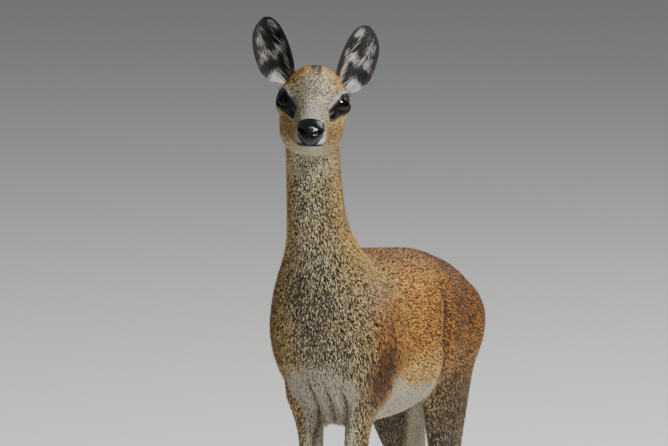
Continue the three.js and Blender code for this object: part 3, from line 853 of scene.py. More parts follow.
def body_tones(p, n):
    """The markings of trunk, neck, legs and tail, with painted shade in the flank's crease, between the
    brisket's folds, on the right side and at the front of the right hind leg's inner face, from place and
    facing alone.
    """
    patch = cloud(p, 45, 3) - 0.5
    fine = cloud(p, 14, 5) - 0.5
    marks = Markings(len(p))
    trunk_marks(marks, p, n, patch)
    front_marks(marks, p, n, fine)
    brisket, white = white_parts(p, n)
    marks.tint(white, CREAM * 0.9, 0.94 + 0.5 * fine)
    marks.tint_dark(white, UMBER)
    marks.thin(white, 0.8)
    marks.tint(brisket, GREY, 0.35)
    # Painted shade: the creases between the brisket's folds drawn towards umber where they face forward.
    fold_shade = np.clip(-0.25 * brisket_folds(p), 0, 1) * (p[:, 1] < BRISKET_REAR)
    marks.tint(fold_shade * ramp(-n[:, 1], -0.1, 0.4), UMBER, 0.5, 0.1)
    leg_marks(marks, p, n, white)
    tail = on_tail(p)
    marks.pale[tail] = UMBER
    marks.share[tail] = 0.6
    marks.share = marks.share + 0.12 * patch
    return marks.result()


def on_tail(p):
    """True where a point of the body lies on the tail."""
    x, y, z = p.T
    return (y > 196) & (z < 460) & (z > 365) & (np.abs(x) < 16)


def crown_marks(marks, h, m):
    """Silver brow and forehead with gold at the sides, an orange crown with a dark stripe down its
    middle, and a greyer blaze."""
    x, forward, z = h[:, 0], -h[:, 1], h[:, 2]
    side = np.abs(x)
    top = ramp(m[:, 2], 0.05, 0.5)
    brow = np.maximum(top, ramp(z, -14, 0)) * ramp(forward, -14, 20)
    marks.tint(brow, SILVER, 0.95)
    marks.tint(top * ramp(side, 10, 26) * ramp(forward, 34, 8), OCHRE, 0.7, 0.1)
    flame = ramp(forward, 2, -14) * ramp(z, 8, 26) * ramp(side, 5, 11)
    marks.tint(flame, ORANGE, 0.88, 0.03)
    marks.tint_dark(flame, RUST * 0.6, 0.9)
    stripe = ramp(forward, 14, -10) * ramp(z, 20, 34) * ramp(side, 8, 4)
    marks.tint(stripe, GREY, 0.9, 0.38)
    marks.tint(bell(x, 0, 11) * bell(forward, 30, 16) * top, GREY, 0.4, 0.1)


def face_marks(marks, h):
    """A lavender-grey bridge of the nose, orange cheeks and a pale patch below and before each gland."""
    forward, z = -h[:, 1], h[:, 2]
    side = np.abs(h[:, 0])
    bridge = ramp(forward, 54, 70) * ramp(z, -26, -12) * ramp(side, 12, 5)
    marks.tint(bridge, LAVENDER * 0.52, 0.8)
    marks.tint_dark(bridge, GREY, 0.7)
    cheek = ramp(z, -14, -26) * ramp(forward, -40, -10) * ramp(side, 12, 20)
    marks.tint(cheek, ORANGE * 0.85, 0.4, 0.04)
    along, across = gland_axes(h)
    around = np.hypot((along + 8) / 6.5, (across + 5) / 3.6)
    patch = (side > 8) * ramp(around, 1.6, 0.6)
    marks.tint(patch, LAVENDER * 0.9, 0.45)
    marks.thin(patch, 0.35)


def eye_marks(marks, h, x):
    """Lavender round an eye, most above it, and the bare black of its rim and gland."""
    middle, out, _, rise = eye_axes(x)
    q = h - middle
    reach = np.linalg.norm(q, axis=1)
    d = unit(q)
    ring = almond_share(d, x)
    near = (reach < 34) & (d @ out > 0)
    above = ramp(d @ rise, -0.1, 0.3)
    halo = near * ramp(ring, 2.5, 1.6) * (0.1 + 0.9 * above)
    marks.tint(halo, LAVENDER * 0.94, 0.85)
    marks.thin(halo, 0.28)
    touching = ramp(reach, EYE_RADIUS + 2.2, EYE_RADIUS + 1.0)
    rim = near * np.maximum(ramp(ring, 1.3, 1.18), touching)
    marks.blacken(np.maximum(rim, tear_share(h, x, 1.32)))


def mouth_marks(marks, h, m):
    """Lips and chin pale, greyed partly in their own colour and partly as painted shade, a cream jaw, and
    the black of the mouth's line and under the nose.
    """
    forward, z = -h[:, 1], h[:, 2]
    side = np.abs(h[:, 0])
    line = z - mouth_line(forward)
    lip = ramp(forward, 66, 76) * ramp(z, -27, -36) * ramp(side, 19, 15)
    chin = ramp(forward, 50, 66) * ramp(line, 0, -3) * ramp(side, 15, 11)
    white = np.clip(lip + chin, 0, 1)
    # The lips and chin are drawn most of the way to grey: partly their own greyish white, partly painted
    # shade.
    marks.tint(white, WHITE + (GREY - WHITE) * 0.64)
    marks.tint_dark(white, GREY)
    marks.thin(white, 0.85)
    jaw = ramp(m[:, 2], -0.2, -0.8) * ramp(forward, 60, 40)
    marks.tint(jaw, CREAM, 0.6)
    marks.thin(jaw, 0.5)
    mouth = ramp(forward, 56, 64) * bell(line, 0, 1.9)
    corner = bell(forward, 72, 5) * bell(line, 0, 3.2)
    marks.blacken(np.clip(mouth + corner + under_nose(h, -1.2), 0, 1))


def head_tones(p, n):
    """The markings of the head, from place and facing in its own frame, with painted shade greying the
    lips and chin.
    """
    h, m = to_head(p), n @ HEAD_TURN
    marks = Markings(len(p))
    crown_marks(marks, h, m)
    face_marks(marks, h)
    for x in SIDES:
        eye_marks(marks, h, x)
    mouth_marks(marks, h, m)
    marks.tint(ramp(-h[:, 1], -30, -50), RUST, 0.35)
    return marks.result()


def tear_share(h, x, grown=1.0):
    """The bare black strip from an eye's inner corner down over its gland: how near a point lies
    to the line between the two, at a width that narrows on the way, from 1 to 0."""
    start = np.array([31.0 * x, -12.0, -1.0])
    end = np.array([21.5 * x, -42.0, -11.5])
    line = end - start
    t = np.clip((h - start) @ line / (line @ line), 0, 1)
    far = np.linalg.norm(h - (start + t[:, None] * line), axis=1)
    return ramp(far / (7.6 - 2.2 * t) / grown, 1.1, 0.9)


def ear_tones(u, v, cup):
    """The markings of an ear, as the tone of its hair and the part of it that is black: a black
    rim and tip, rows of white hair on dark skin, a black patch on the lower lobe, a white foot and
    a plain brown-grey back."""
    inside = np.tile(tone(132, 128, 122), (len(u), 1))
    share = np.full(len(u), 0.66)
    for u0, v0, du, dv, colour, black in EAR_SPOTS:
        weight = ramp(np.sqrt(((u - u0) / du) ** 2 + ((v - v0) / dv) ** 2), 1.25, 0.6)
        inside = mixed(inside, colour, weight)
        share = share + (black - share) * weight
    share = share + 0.12 * ramp(v, 0.5, 0.72)
    edge = ramp(np.abs(u), 0.8, 0.93) * ramp(v, 0.3, 0.45)
    edge = np.maximum(edge, ramp(v + 0.06 * u, 0.84, 0.93))
    share = share + (0.97 - share) * edge
    inside = mixed(inside, INK, edge)
    back = np.tile(tone(150, 128, 100), (len(u), 1))
    back = mixed(back, SOOT, ramp(v, 0.6, 0.95) * 0.8)
    behind = 0.25 + 0.7 * ramp(np.abs(u), 0.88, 0.97) * ramp(v, 0.3, 0.45)
    on_cup = cup > 0.5
    return np.where(on_cup[:, None], inside, back), np.where(on_cup, share, behind)


def body_lie(p, n):
    """Which way the hair of the body lies: down the neck, chest, legs and tail, back along the
    trunk, and down and back on flank and haunch, laid flat on the surface."""
    x, y, z = p.T
    trunk = ramp(y, -125, -75) * ramp(z, 345, 385)
    lie = np.stack([0.12 * np.sign(x) * (1 - trunk), 0.12 + 0.95 * trunk, -1 + 0.35 * trunk], axis=1)
    over = ramp(n[:, 2], 0.3, 0.8) * trunk
    lie = lie + over[:, None] * np.array([0, 0.6, 0.5])
    rump = ramp(y, 120, 180)[:, None]
    lie = lie + rump * np.array([0, -0.3, -0.7])
    return tangent(lie + 0.3 * swirl(p, 30), n)


def head_lie(p, n):
    """Hair of the head lies back from the nose, spreading from the middle line."""
    h = to_head(p)
    lie = np.stack([0.018 * h[:, 0], np.ones(len(p)), -0.1 - 0.006 * h[:, 2]], axis=1)
    return tangent(lie @ HEAD_TURN.T + 0.2 * swirl(p, 14), n)


def swirl(p, size):
    """A slow wandering of direction, each part from -0.5 to 0.5."""
    return np.stack([cloud(p, size, salt) for salt in (21, 22, 23)], axis=1) - 0.5


def tangent(lie, n):
    """Directions with the part along the normal taken out, of length 1."""
    return unit(lie - (lie * n).sum(1, keepdims=True) * n)


# The coat.


def scatter(points, tris, normals, density, extra=None):
    """Random places spread over triangles, as many on each as its area in square millimetres times
    the density at its corners, with the normal and any extra values blended there."""
    p = points[tris]
    area = np.linalg.norm(np.cross(p[:, 1] - p[:, 0], p[:, 2] - p[:, 0]), axis=1) / 2
    weight = area * density[tris].mean(1)
    count = int(weight.sum())
    place = (np.arange(count) + rng.random(count)) / count
    pick = np.searchsorted(np.cumsum(weight) / weight.sum(), place).clip(0, len(tris) - 1)
    a, b = rng.random((2, count))
    flip = a + b > 1
    a[flip], b[flip] = 1 - a[flip], 1 - b[flip]
    share = np.stack([1 - a - b, a, b], axis=1)[:, :, None]
    corners = tris[pick]
    found = (points[corners] * share).sum(1), unit((normals[corners] * share).sum(1))
    if extra is None:
        return found
    return (*found, (extra[corners] * share).sum(1))


def speckled(p, n, lie, tones, size, stretch, salt):
    """A tuft's own tone at one place along it: dark or pale by where that place lies.

    Dark dashes lie scattered, one to a cell of that size, drawn out along the lie. A tuft is dark
    where its distance from the nearest dash, with the part along the lie divided by stretch, is
    under the half width that lets the dashes cover their share: -log(1 - share) of a cell. Each
    tuft moves that edge a little by chance and has a brightness of its own."""
    pale, dark, share = tones
    base = np.floor(p / size)
    nearest = np.full(len(p), np.inf)
    shade = np.zeros(len(p))
    for corner in np.ndindex(3, 3, 3):
        cell = base + corner - 1
        spot = np.stack([hashed(cell, salt + k) for k in range(3)], axis=-1)
        d = p - (cell + spot) * size
        along, off = (d * lie).sum(1), (d * n).sum(1)
        far = (d * d).sum(1) - off**2 - along**2 * (1 - 1 / stretch**2)
        far = np.where(np.abs(off) < size / 2, far, np.inf)
        nearer = far < nearest
        nearest[nearer] = far[nearer]
        shade[nearer] = hashed(cell[nearer], salt + 9)
    half = size * np.sqrt(-np.log(1 - share) / (np.pi * stretch)) * (0.8 + 0.4 * shade)
    edge = np.sqrt(nearest) / half + 0.5 * (rng.random(len(p)) - 0.5)
    blackness = ramp(edge, 1.1, 0.9) * 0.95
    body = pale * (0.72 + 0.6 * rng.random(len(p)))[:, None]
    return body + (dark - body) * blackness[:, None]


def wrapped(p, middle, along, up, low, high):
    """The place of each point on an unwrap of the skin: how far round the line through middle it
    lies, and how far along it between low and high, both from 0 to 1."""
    along, up = unit(np.array(along, float)), unit(np.array(up, float))
    side = np.cross(along, up)
    q = p - middle
    round_share = np.arctan2(q @ side, q @ up) / (2 * np.pi) + 0.5
    return np.stack([round_share, np.clip((q @ along - low) / (high - low), 0, 1)], axis=1)


# How large one tuft's patch is on the coat's map, where the whole map is 1.
UV_PATCH = 0.003

# Corners of a tuft's patch and its faces. A sliver is widest at the root: left, right, ridge, tip.
# A blade is widest past the middle: root, left, right, tip.
SLIVER_PATCH = np.array([[0, 0], [1, 0], [0.5, 0.3], [0.5, 1]]) * UV_PATCH
SLIVER_FACES = np.array([[0, 3, 1], [0, 2, 3], [1, 3, 2], [0, 1, 2]])
BLADE_PATCH = np.array([[0.5, 0], [0, 0.6], [1, 0.6], [0.5, 1]]) * UV_PATCH
BLADE_FACES = np.array([[0, 2, 1], [3, 1, 2], [0, 1, 3], [0, 3, 2]])


def coat_piece(name, corners, tones, faces, patch, uv):
    """Tufts as closed shapes of a few corners, given as arrays with one row to a tuft. Each one's
    corners share a small patch of the coat's map, at its root's place."""
    count, size, _ = corners.shape
    tris = (np.arange(count)[:, None, None] * size + faces).reshape(-1, 3)
    piece = mesh_object(name, placed(corners.reshape(-1, 3)), tris)
    paint(piece, "coat", tones.reshape(-1, 3))
    places = (uv * (1 - UV_PATCH))[:, None] + patch
    layer = piece.data.uv_layers.new(name="OFBake")
    layer.data.foreach_set("uv", places[:, faces.ravel()].astype(np.float32).ravel())
    piece.data.materials.append(coat_material)
    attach(piece, "root")
    return piece


def finish_piece(piece, nodes):
    """Makes a piece move with the body and hides the nodes that it stands for."""
    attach(piece, "root")
    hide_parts(*nodes)


def lifted(p, n, lie, length, lift):
    """Root and tip of each tuft: the root is sunk a little and the tip lies one length away, lift
    degrees off the skin."""
    lift = np.radians(lift)[:, None]
    return p - n * 0.3, p + (np.cos(lift) * lie + np.sin(lift) * n) * length[:, None]


def slivers(p, n, lie, length, width, lift):
    """Corners of tufts that are widest at the root: two across the lie, one raised, the tip."""
    root, tip = lifted(p, n, lie, length, lift)
    side = np.cross(lie, n) * (width / 2)[:, None]
    ridge = n * (0.42 * width)[:, None]
    return np.stack([root - side, root + side, root + ridge, tip], axis=1)


def blades(p, n, lie, length, width, lift):
    """Corners of tufts that are widest past the middle: the root, two raised ones at the widest
    place and the tip."""
    root, tip = lifted(p, n, lie, length, lift)
    waist = root + (tip - root) * 0.55 + n * (0.3 * width)[:, None]
    side = np.cross(lie, n) * (width / 2)[:, None]
    return np.stack([root, waist - side, waist + side, tip], axis=1)


def bare_piece(name, points, quads, fans, material, slot, node):
    """A smooth piece without hair that stands for one node."""
    piece = smooth(mesh_object(name, placed(points), quads, fans))
    piece.data.materials.append(material)
    finish_piece(piece, [node])
    return piece


# Materials.


def node_material(name, rough=None, specular=None):
    """A new material with its node tree and its shader, with its roughness and its shine."""
    material = bpy.data.materials.new(name)
    material.use_nodes = True
    shader = material.node_tree.nodes["Principled BSDF"]
    if rough is not None:
        shader.inputs["Roughness"].default_value = rough
    if specular is not None:
        shader.inputs["Specular IOR Level"].default_value = specular
    return material, material.node_tree, shader


def add(tree, kind, **settings):
    """A node of a kind, with its settings and the values of its named inputs."""
    node = tree.nodes.new(kind)
    for key, value in settings.items():
        if key in node.inputs:
            node.inputs[key].default_value = value
        else:
            setattr(node, key, value)
    return node


def spread(tree, low, high):
    """A node that turns values from 0 to 1 into values from low to high."""
    return add(tree, "ShaderNodeMapRange", **{"To Min": low, "To Max": high})


def join(tree, *links):
    """Links between nodes, each given as a node, its output, the next node and its input."""
    for source, output, target, entry in links:
        tree.links.new(source.outputs[output], target.inputs[entry])


def make_coat():
    """Hair: the tufts' own tones, a slow drift of warmth over the body and a soft sheen."""
    material, tree, shader = node_material("speckled_coat", 0.55, 0.35)
    colour = add(tree, "ShaderNodeAttribute", attribute_name="coat")
    place = add(tree, "ShaderNodeTexCoord")
    drift = add(tree, "ShaderNodeTexNoise", Scale=26.0, Detail=3.0)
    level = spread(tree, 0.82, 1.18)
    scale = add(tree, "ShaderNodeVectorMath", operation="SCALE")
    join(
        tree,
        (place, "Object", drift, "Vector"),
        (drift, "Fac", level, "Value"),
        (colour, "Color", scale, 0),
        (level, "Result", scale, "Scale"),
        (scale, "Vector", shader, "Base Color"),
    )
    return material


def speckle_group():
    """Agouti speckle: small cells that each take the pale or the dark tone, and fine hair grain."""
    group = bpy.data.node_groups.new("agouti_speckle", "ShaderNodeTree")
    for way, kind, names in (
        ("INPUT", "Color", ("Pale", "Dark")),
        ("INPUT", "Float", ("Share", "Cells")),
        ("OUTPUT", "Color", ("Colour",)),
        ("OUTPUT", "Float", ("Height",)),
    ):
        for name in names:
            group.interface.new_socket(name, in_out=way, socket_type=f"NodeSocket{kind}")
    given = add(group, "NodeGroupInput")
    made = add(group, "NodeGroupOutput")
    place = add(group, "ShaderNodeTexCoord")
    cells = add(group, "ShaderNodeTexVoronoi")
    split = add(group, "ShaderNodeSeparateColor")
    below = add(group, "ShaderNodeMath", operation="LESS_THAN")
    blend = add(group, "ShaderNodeMix", data_type="RGBA")
    grain = add(group, "ShaderNodeTexNoise", Scale=900.0, Detail=2.0)
    join(
        group,
        (place, "Object", cells, "Vector"),
        (given, "Cells", cells, "Scale"),
        (cells, "Color", split, "Color"),
        (split, "Red", below, 0),
        (given, "Share", below, 1),
        (below, "Value", blend, "Factor"),
        (given, "Pale", blend, "A"),
        (given, "Dark", blend, "B"),
        (place, "Object", grain, "Vector"),
        (blend, "Result", made, "Colour"),
        (grain, "Fac", made, "Height"),
    )
    return group


def make_skin(speckle):
    """Skin and the hair's under layer, with the same markings; its colours come darkened as painted shade
    under the hair.
    """
    material, tree, shader = node_material("skin_under_coat", specular=0.3)
    pale, dark, share, wet = (
        add(tree, "ShaderNodeAttribute", attribute_name=name) for name in ("pale", "dark", "share", "wet")
    )
    group = add(tree, "ShaderNodeGroup", node_tree=speckle)
    group.inputs["Cells"].default_value = 420.0
    bump = add(tree, "ShaderNodeBump", Strength=0.5, Distance=0.0006)
    rough = spread(tree, 0.75, 0.22)
    join(
        tree,
        (pale, "Color", group, "Pale"),
        (dark, "Color", group, "Dark"),
        (share, "Fac", group, "Share"),
        (group, "Colour", shader, "Base Color"),
        (group, "Height", bump, "Height"),
        (bump, "Normal", shader, "Normal"),
        (wet, "Fac", rough, "Value"),
        (rough, "Result", shader, "Roughness"),
    )
    return material


def make_eye():
    """A wet, very dark brown eye."""
    material, tree, shader = node_material("wet_eye", 0.05, 0.18)
    colour = add(tree, "ShaderNodeAttribute", attribute_name="iris")
    join(tree, (colour, "Color", shader, "Base Color"))
    return material


def bumpy(name, specular, tones, rough, grain, kind, height, bump, **pattern):
    """A bare material: grain gives its tone and roughness, and a pattern of a kind its relief."""
    material, tree, shader = node_material(name, specular=specular)
    place = add(tree, "ShaderNodeTexCoord")
    relief = add(tree, kind, **pattern)
    grain = add(tree, "ShaderNodeTexNoise", **grain)
    tint = add(tree, "ShaderNodeValToRGB")
    for element, colour in zip(tint.color_ramp.elements, tones):
        element.color = (*colour, 1)
    rough = spread(tree, *rough)
    bump = add(tree, "ShaderNodeBump", **bump)
    join(
        tree,
        (place, "Object", relief, "Vector"),
        (place, "Object", grain, "Vector"),
        (grain, "Fac", tint, "Fac"),
        (grain, "Fac", rough, "Value"),
        (tint, "Color", shader, "Base Color"),
        (rough, "Result", shader, "Roughness"),
        (relief, height, bump, "Height"),
        (bump, "Normal", shader, "Normal"),
    )
    return material


def make_nose():
    """Wet black leather with fine pebbles."""
    return bumpy(
        "wet_nose_leather",
        specular=0.4,
        tones=((0.001, 0.001, 0.0012), (0.004, 0.004, 0.0045)),
        rough=(0.08, 0.2),
        grain={"Scale": 300.0, "Detail": 3.0},
        kind="ShaderNodeTexVoronoi",
        height="Distance",
        bump={"Strength": 0.7, "Distance": 0.0003, "invert": True},
        feature="SMOOTH_F1",
        Scale=900.0,
    )


def make_horn():
    """Dull dark hoof horn with growth rings across it and a fine grain of darker and paler tone."""
    return bumpy(
        "hoof_horn",
        specular=0.3,
        tones=((0.008, 0.007, 0.006), (0.045, 0.038, 0.031)),
        rough=(0.38, 0.62),
        grain={"Scale": 260.0, "Detail": 4.0},
        kind="ShaderNodeTexWave",
        height="Fac",
        bump={"Strength": 0.35, "Distance": 0.0004},
        bands_direction="Z",
        Scale=110.0,
        Distortion=2.0,
        Detail=2.0,
    )


coat_material = make_coat()
skin_material = make_skin(speckle_group())
eye_material = make_eye()
nose_material = make_nose()
horn_material = make_horn()

# The skin: body, head and ears as one piece.

NO_FANS = np.zeros((0, 3), int)

body_points, body_quads = body_core()
body_tris = triangles(body_quads, NO_FANS)
body_normals = normals_of(body_points, body_tris)
body_points = body_points + body_normals * body_forms(body_points, body_normals)[:, None]
body_normals = normals_of(body_points, body_tris)

head_grid = head_surface()
head_local, head_quads, head_fans = sheath(head_grid)
head_points = from_head(head_local)
head_tris = triangles(head_quads, head_fans)
head_normals = normals_of(head_points, head_tris)

ears = {}
for x in SIDES:
    grid, u, v, cup = ear_surface(x)
    local, quads, fans = sheath(grid)
    tags = np.stack([u, v, np.broadcast_to(cup, u.shape)], axis=-1).reshape(-1, 3)
    tags = np.concatenate([tags, tags[:1], tags[-1:]])
    points = from_head(local)
    tris = triangles(quads, fans)
    ears[x] = (points, quads, fans, tris, normals_of(points, tris), tags)


# Points along and round the edge of the lids, and how far the skin's tones are darkened as painted shade
# under the hair's tips.
RIM_STEPS, RIM_SIDES = 90, 10
SKIN_PAINTED_SHADE = 0.6


def lid_rim(x):
    """The dark bare edge of both lids: a thin round cord along the almond, a little outside the
    eyeball, as rings joined end to end."""
    turn = 2 * np.pi * np.arange(RIM_STEPS)[:, None] / RIM_STEPS
    aim = almond_edge(turn, x)
    path = eye_axes(x)[0] + aim * (EYE_RADIUS + 1.1)
    ahead = unit(np.roll(path, -1, axis=0) - np.roll(path, 1, axis=0))
    across = np.cross(ahead, aim)
    spin = 2 * np.pi * np.arange(RIM_SIDES)[None, :, None] / RIM_SIDES
    size = 0.95 + 0.3 * ramp(np.sin(turn), -0.2, 0.6)[:, None]
    grid = path[:, None] + size * (np.cos(spin) * aim[:, None] + 0.8 * np.sin(spin) * across[:, None])
    i, k = np.meshgrid(np.arange(RIM_STEPS), np.arange(RIM_SIDES), indexing="ij")
    here, there = i * RIM_SIDES, (i + 1) % RIM_STEPS * RIM_SIDES
    nxt = (k + 1) % RIM_SIDES
    quads = np.stack([here + k, here + nxt, there + nxt, there + k], axis=-1).reshape(-1, 4)
    points = grid.reshape(-1, 3)
    outward = normals_of(points, triangles(quads, NO_FANS))
    if ((points - np.repeat(path, RIM_SIDES, axis=0)) * outward).sum() < 0:
        quads = quads[:, ::-1]
    return from_head(points), quads


def make_skin_piece():
    """Body, head, ears and lid edges as closed shells that run into each other, in one mesh, with
    the two tones of the markings, their share and how wet it is at each point."""
    dry = np.zeros(len(body_points))
    shells = [(body_points, body_quads, NO_FANS, *body_tones(body_points, body_normals), dry)]
    tears = np.maximum(tear_share(head_local, 1), tear_share(head_local, -1))
    shells.append((head_points, head_quads, head_fans, *head_tones(head_points, head_normals), tears))
    for points, quads, fans, _, _, tags in ears.values():
        plain, black = ear_tones(*tags.T)
        plain = mixed(plain, EAR_RED * 0.5, black)
        dry = np.zeros(len(points))
        shells.append((points, quads, fans, plain, plain, dry, dry))
    for x in SIDES:
        points, quads = lid_rim(x)
        black = np.tile(INK, (len(points), 1))
        dry = np.zeros(len(points))
        shells.append((points, quads, NO_FANS, black, black, dry, dry + 1))
    points, quads, fans = joined([shell[:3] for shell in shells])
    pale, dark, share, wet = (np.concatenate(parts) for parts in zip(*[shell[3:] for shell in shells]))
    piece = smooth(mesh_object("skin", placed(points), quads, fans))
    # Both tones are darkened as painted shade under the hair.
    paint(piece, "pale", pale * SKIN_PAINTED_SHADE)
    paint(piece, "dark", dark * SKIN_PAINTED_SHADE)
    number(piece, "share", share)
    number(piece, "wet", wet)
    piece.data.materials.append(skin_material)
    nodes = ["torso", "neck", "tail", "head", "ear_left", "ear_right"]
    for name in LIMBS:
        joint = "knee" if name.startswith("fore") else "hock"
        nodes += [f"{name}_above_{joint}", f"{name}_below_{joint}"]
    finish_piece(piece, nodes)


make_skin_piece()


def inside_of(points, tris, places):
    """True for each place that lies inside a closed surface: its nearest face looks away."""
    tree = BVHTree.FromPolygons([Vector(p) for p in points], [tuple(t) for t in tris])
    found = np.zeros(len(places), bool)
    for i, place in enumerate(places):
        near, normal, _, _ = tree.find_nearest(Vector(place))
        found[i] = (Vector(place) - near).dot(normal) < 0
    return found


# Regions of the body's coat and how each is unwrapped.


def body_regions(p):
    """Which stretch of the coat each place belongs to, by position."""
    x, y, z = p.T
    side = np.where(x > 0, "left", "right")
    region = np.char.add("flank_", side).astype("U16")
    for kind, here in (
        ("haunch_", y >= 55),
        ("chest", (y < -95) & (z < 500)),
        ("neck", (z >= 500) & (y < -95) | (z >= 545)),
        ("foreleg_", (z < 340) & (y < -60)),
        ("hindleg_", (z < 340) & (y > 40)),
        ("tail", (y > 198) & (np.abs(x) < 15) & (z > 365) & (z < 452)),
    ):
        region[here] = np.char.add(kind, side)[here] if kind.endswith("_") else kind
    return region


# For each kind of region a point of the line that its unwrap goes round, the way along that line,
# the way up from it, and where along it the unwrap starts and ends.
UNWRAP = {
    "flank": ((0, 0, 425), (0, 1, 0), (0, 0, 1), -100, 60),
    "haunch": ((0, 0, 425), (0, 1, 0), (0, 0, 1), 50, 220),
    "chest": ((0, -110, 430), (0, 0.5, -1), (0, -1, 0), -110, 120),
    "neck": ((0, -190, 545), (0, 0, 1), (0, 1, 0), -50, 170),
    "tail": ((0, 206, 410), (0, 0, 1), (0, 1, 0), -50, 50),
}


# Where the unwrap of a leg starts above the ground, and its height.
LEG_LOW, LEG_SPAN = 20, 325


def region_uv(name, p):
    """A region's places on the unwrap of its own stretch of skin."""
    kind = name.split("_")[0]
    if kind in UNWRAP:
        middle, along, up, low, high = UNWRAP[kind]
        uv = wrapped(p, np.array(middle, float), along, up, low, high)
        if kind in ("flank", "haunch"):
            uv[:, 0] = uv[:, 0] * 2 % 1
        return uv
    rows = np.array(LIMBS[name][1])[::-1]
    middle = np.interp(p[:, 2], rows[:, 1], (rows[:, 0] + rows[:, 2]) / 2)
    across = np.interp(p[:, 2], rows[:, 1], rows[:, 5])
    angle = np.arctan2(p[:, 0] - across, p[:, 1] - middle) / (2 * np.pi) + 0.5
    return np.stack([angle, np.clip((p[:, 2] - LEG_LOW) / LEG_SPAN, 0, 1)], axis=1)


# By height on the body: tufts to a square millimetre, their length, width and lift in degrees.
BODY_DENSITY = ([20, 90, 250, 340, 420, 560, 700], [1.1, 0.95, 0.82, 0.76, 0.74, 0.82, 0.95])
BODY_LENGTH = ([26, 38, 60, 180, 300, 370, 560, 690], [6.0, 3.6, 3.0, 3.6, 4.6, 5.6, 5.2, 4.8])
BODY_WIDTH = ([20, 180, 370], [0.72, 0.82, 0.9])
BODY_LIFT = ([20, 34, 50, 250, 400, 600, 690], [24, 22, 14, 18, 25, 27, 24])

# The same by place along the head, from its back to the front of the muzzle.
HEAD_DENSITY = ([-65, -20, 40, 90], [1.0, 1.4, 2.1, 2.5])
HEAD_LENGTH = ([-65, -30, 0, 40, 88], [5.4, 3.8, 2.7, 2.1, 1.6])
HEAD_WIDTH = ([-65, 0, 88], [1.0, 0.8, 0.6])

# The same on the cup and on the back of an ear, with the length of dark hair.
EAR_DENSITY = (2.4, 1.6)
EAR_HAIR = (5.0, 3.2)
EAR_WIDTH = (0.5, 0.7)
EAR_LIFT = (18, 12)

# The dashes of the speckle: size of a cell, stretch along the lie, and salt of their places.
BODY_DASHES = (1.65, 1.3, 31)
HEAD_DASHES = (1.5, 1.15, 51)

# Where along a tuft it takes its marking, and the two places where it takes its bands.
BODY_MARK, BODY_BANDS = 0.75, (0.6, 1.0)
HEAD_MARK, HEAD_BANDS = 0.6, (0.3, 0.9)


def chance(count, low, span):
    """Random numbers between low and low plus span."""
    return low + span * rng.random(count)


def bands(p, n, flow, lie, length, shares, marks, dashes):
    """The tone of each tuft at some shares of its length."""
    return [speckled(p + lie * (share * length)[:, None], n, flow, marks, *dashes) for share in shares]


def coat_body():
    """The coat of trunk, neck, legs and tail: length, width and lift by height and place. A tuft
    takes the marking of the place where its visible end lies, and its dark or pale bands at the
    waist and at the tip from the dashes there."""
    density = np.interp(body_points[:, 2], *BODY_DENSITY)
    p, n = scatter(body_points, body_tris, body_normals, density)
    q = to_head(p)
    near = around_head(q)
    hidden = near & (q[:, 1] < 12) & (q[:, 2] > -30)
    hidden[near] |= inside_of(head_points, head_tris, p[near])
    p, n = p[~hidden], n[~hidden]
    x, y, z = p.T
    brisket = bell(z, 375, 30) * ramp(y, -110, -140)
    fringe = bell(z, 336, 8) * ramp(-n[:, 2], 0.3, 0.7) * (y < -100) * (np.abs(x) < 26)
    length = np.interp(z, *BODY_LENGTH)
    length = length * (1 + 0.4 * brisket + 0.8 * fringe) * np.where(on_tail(p), 1.5, 1)
    length = length * chance(len(p), 0.75, 0.5)
    width = np.interp(z, *BODY_WIDTH) * chance(len(p), 0.75, 0.5)
    lift = np.interp(z, *BODY_LIFT) * chance(len(p), 0.6, 0.8) + 30 * fringe
    flow = body_lie(p, n)
    lie = tangent(flow + 0.32 * (rng.random((len(p), 3)) - 0.5), n)
    corners = blades(p, n, lie, length, width, lift)
    marks = body_tones(p + lie * (BODY_MARK * length)[:, None], n)
    waist, tip = bands(p, n, flow, lie, length, BODY_BANDS, marks, BODY_DASHES)
    # The root corner, at 0.4 of the waist's tone, is painted shade deep in the coat.
    tones = np.stack([waist * 0.4, waist, waist, tip], axis=1)
    region = body_regions(p)
    for name in np.unique(region):
        here = region == name
        uv = region_uv(str(name), p[here])
        coat_piece(f"coat_{name}", corners[here], tones[here], BLADE_FACES, BLADE_PATCH, uv)


def bare_of_hair(p, q):
    """True for places on the head without hair: nose, lids, eyeballs and glands, and what lies
    inside the neck. q holds the places in the head's own frame."""
    bare = under_nose(q, 0.0)
    for x in SIDES:
        middle, out = eye_axes(x)[:2]
        d = q - middle
        reach = np.linalg.norm(d, axis=1)
        close = (reach < 24) & (unit(d) @ out > 0)
        bare |= close & (almond_share(unit(d), x) < 1.18)
        bare |= reach <= EYE_RADIUS + 0.8
        bare |= tear_share(q, x) >= 0.1
    behind = q[:, 1] > -10
    bare[behind] |= inside_of(body_points, body_tris, p[behind])
    return bare


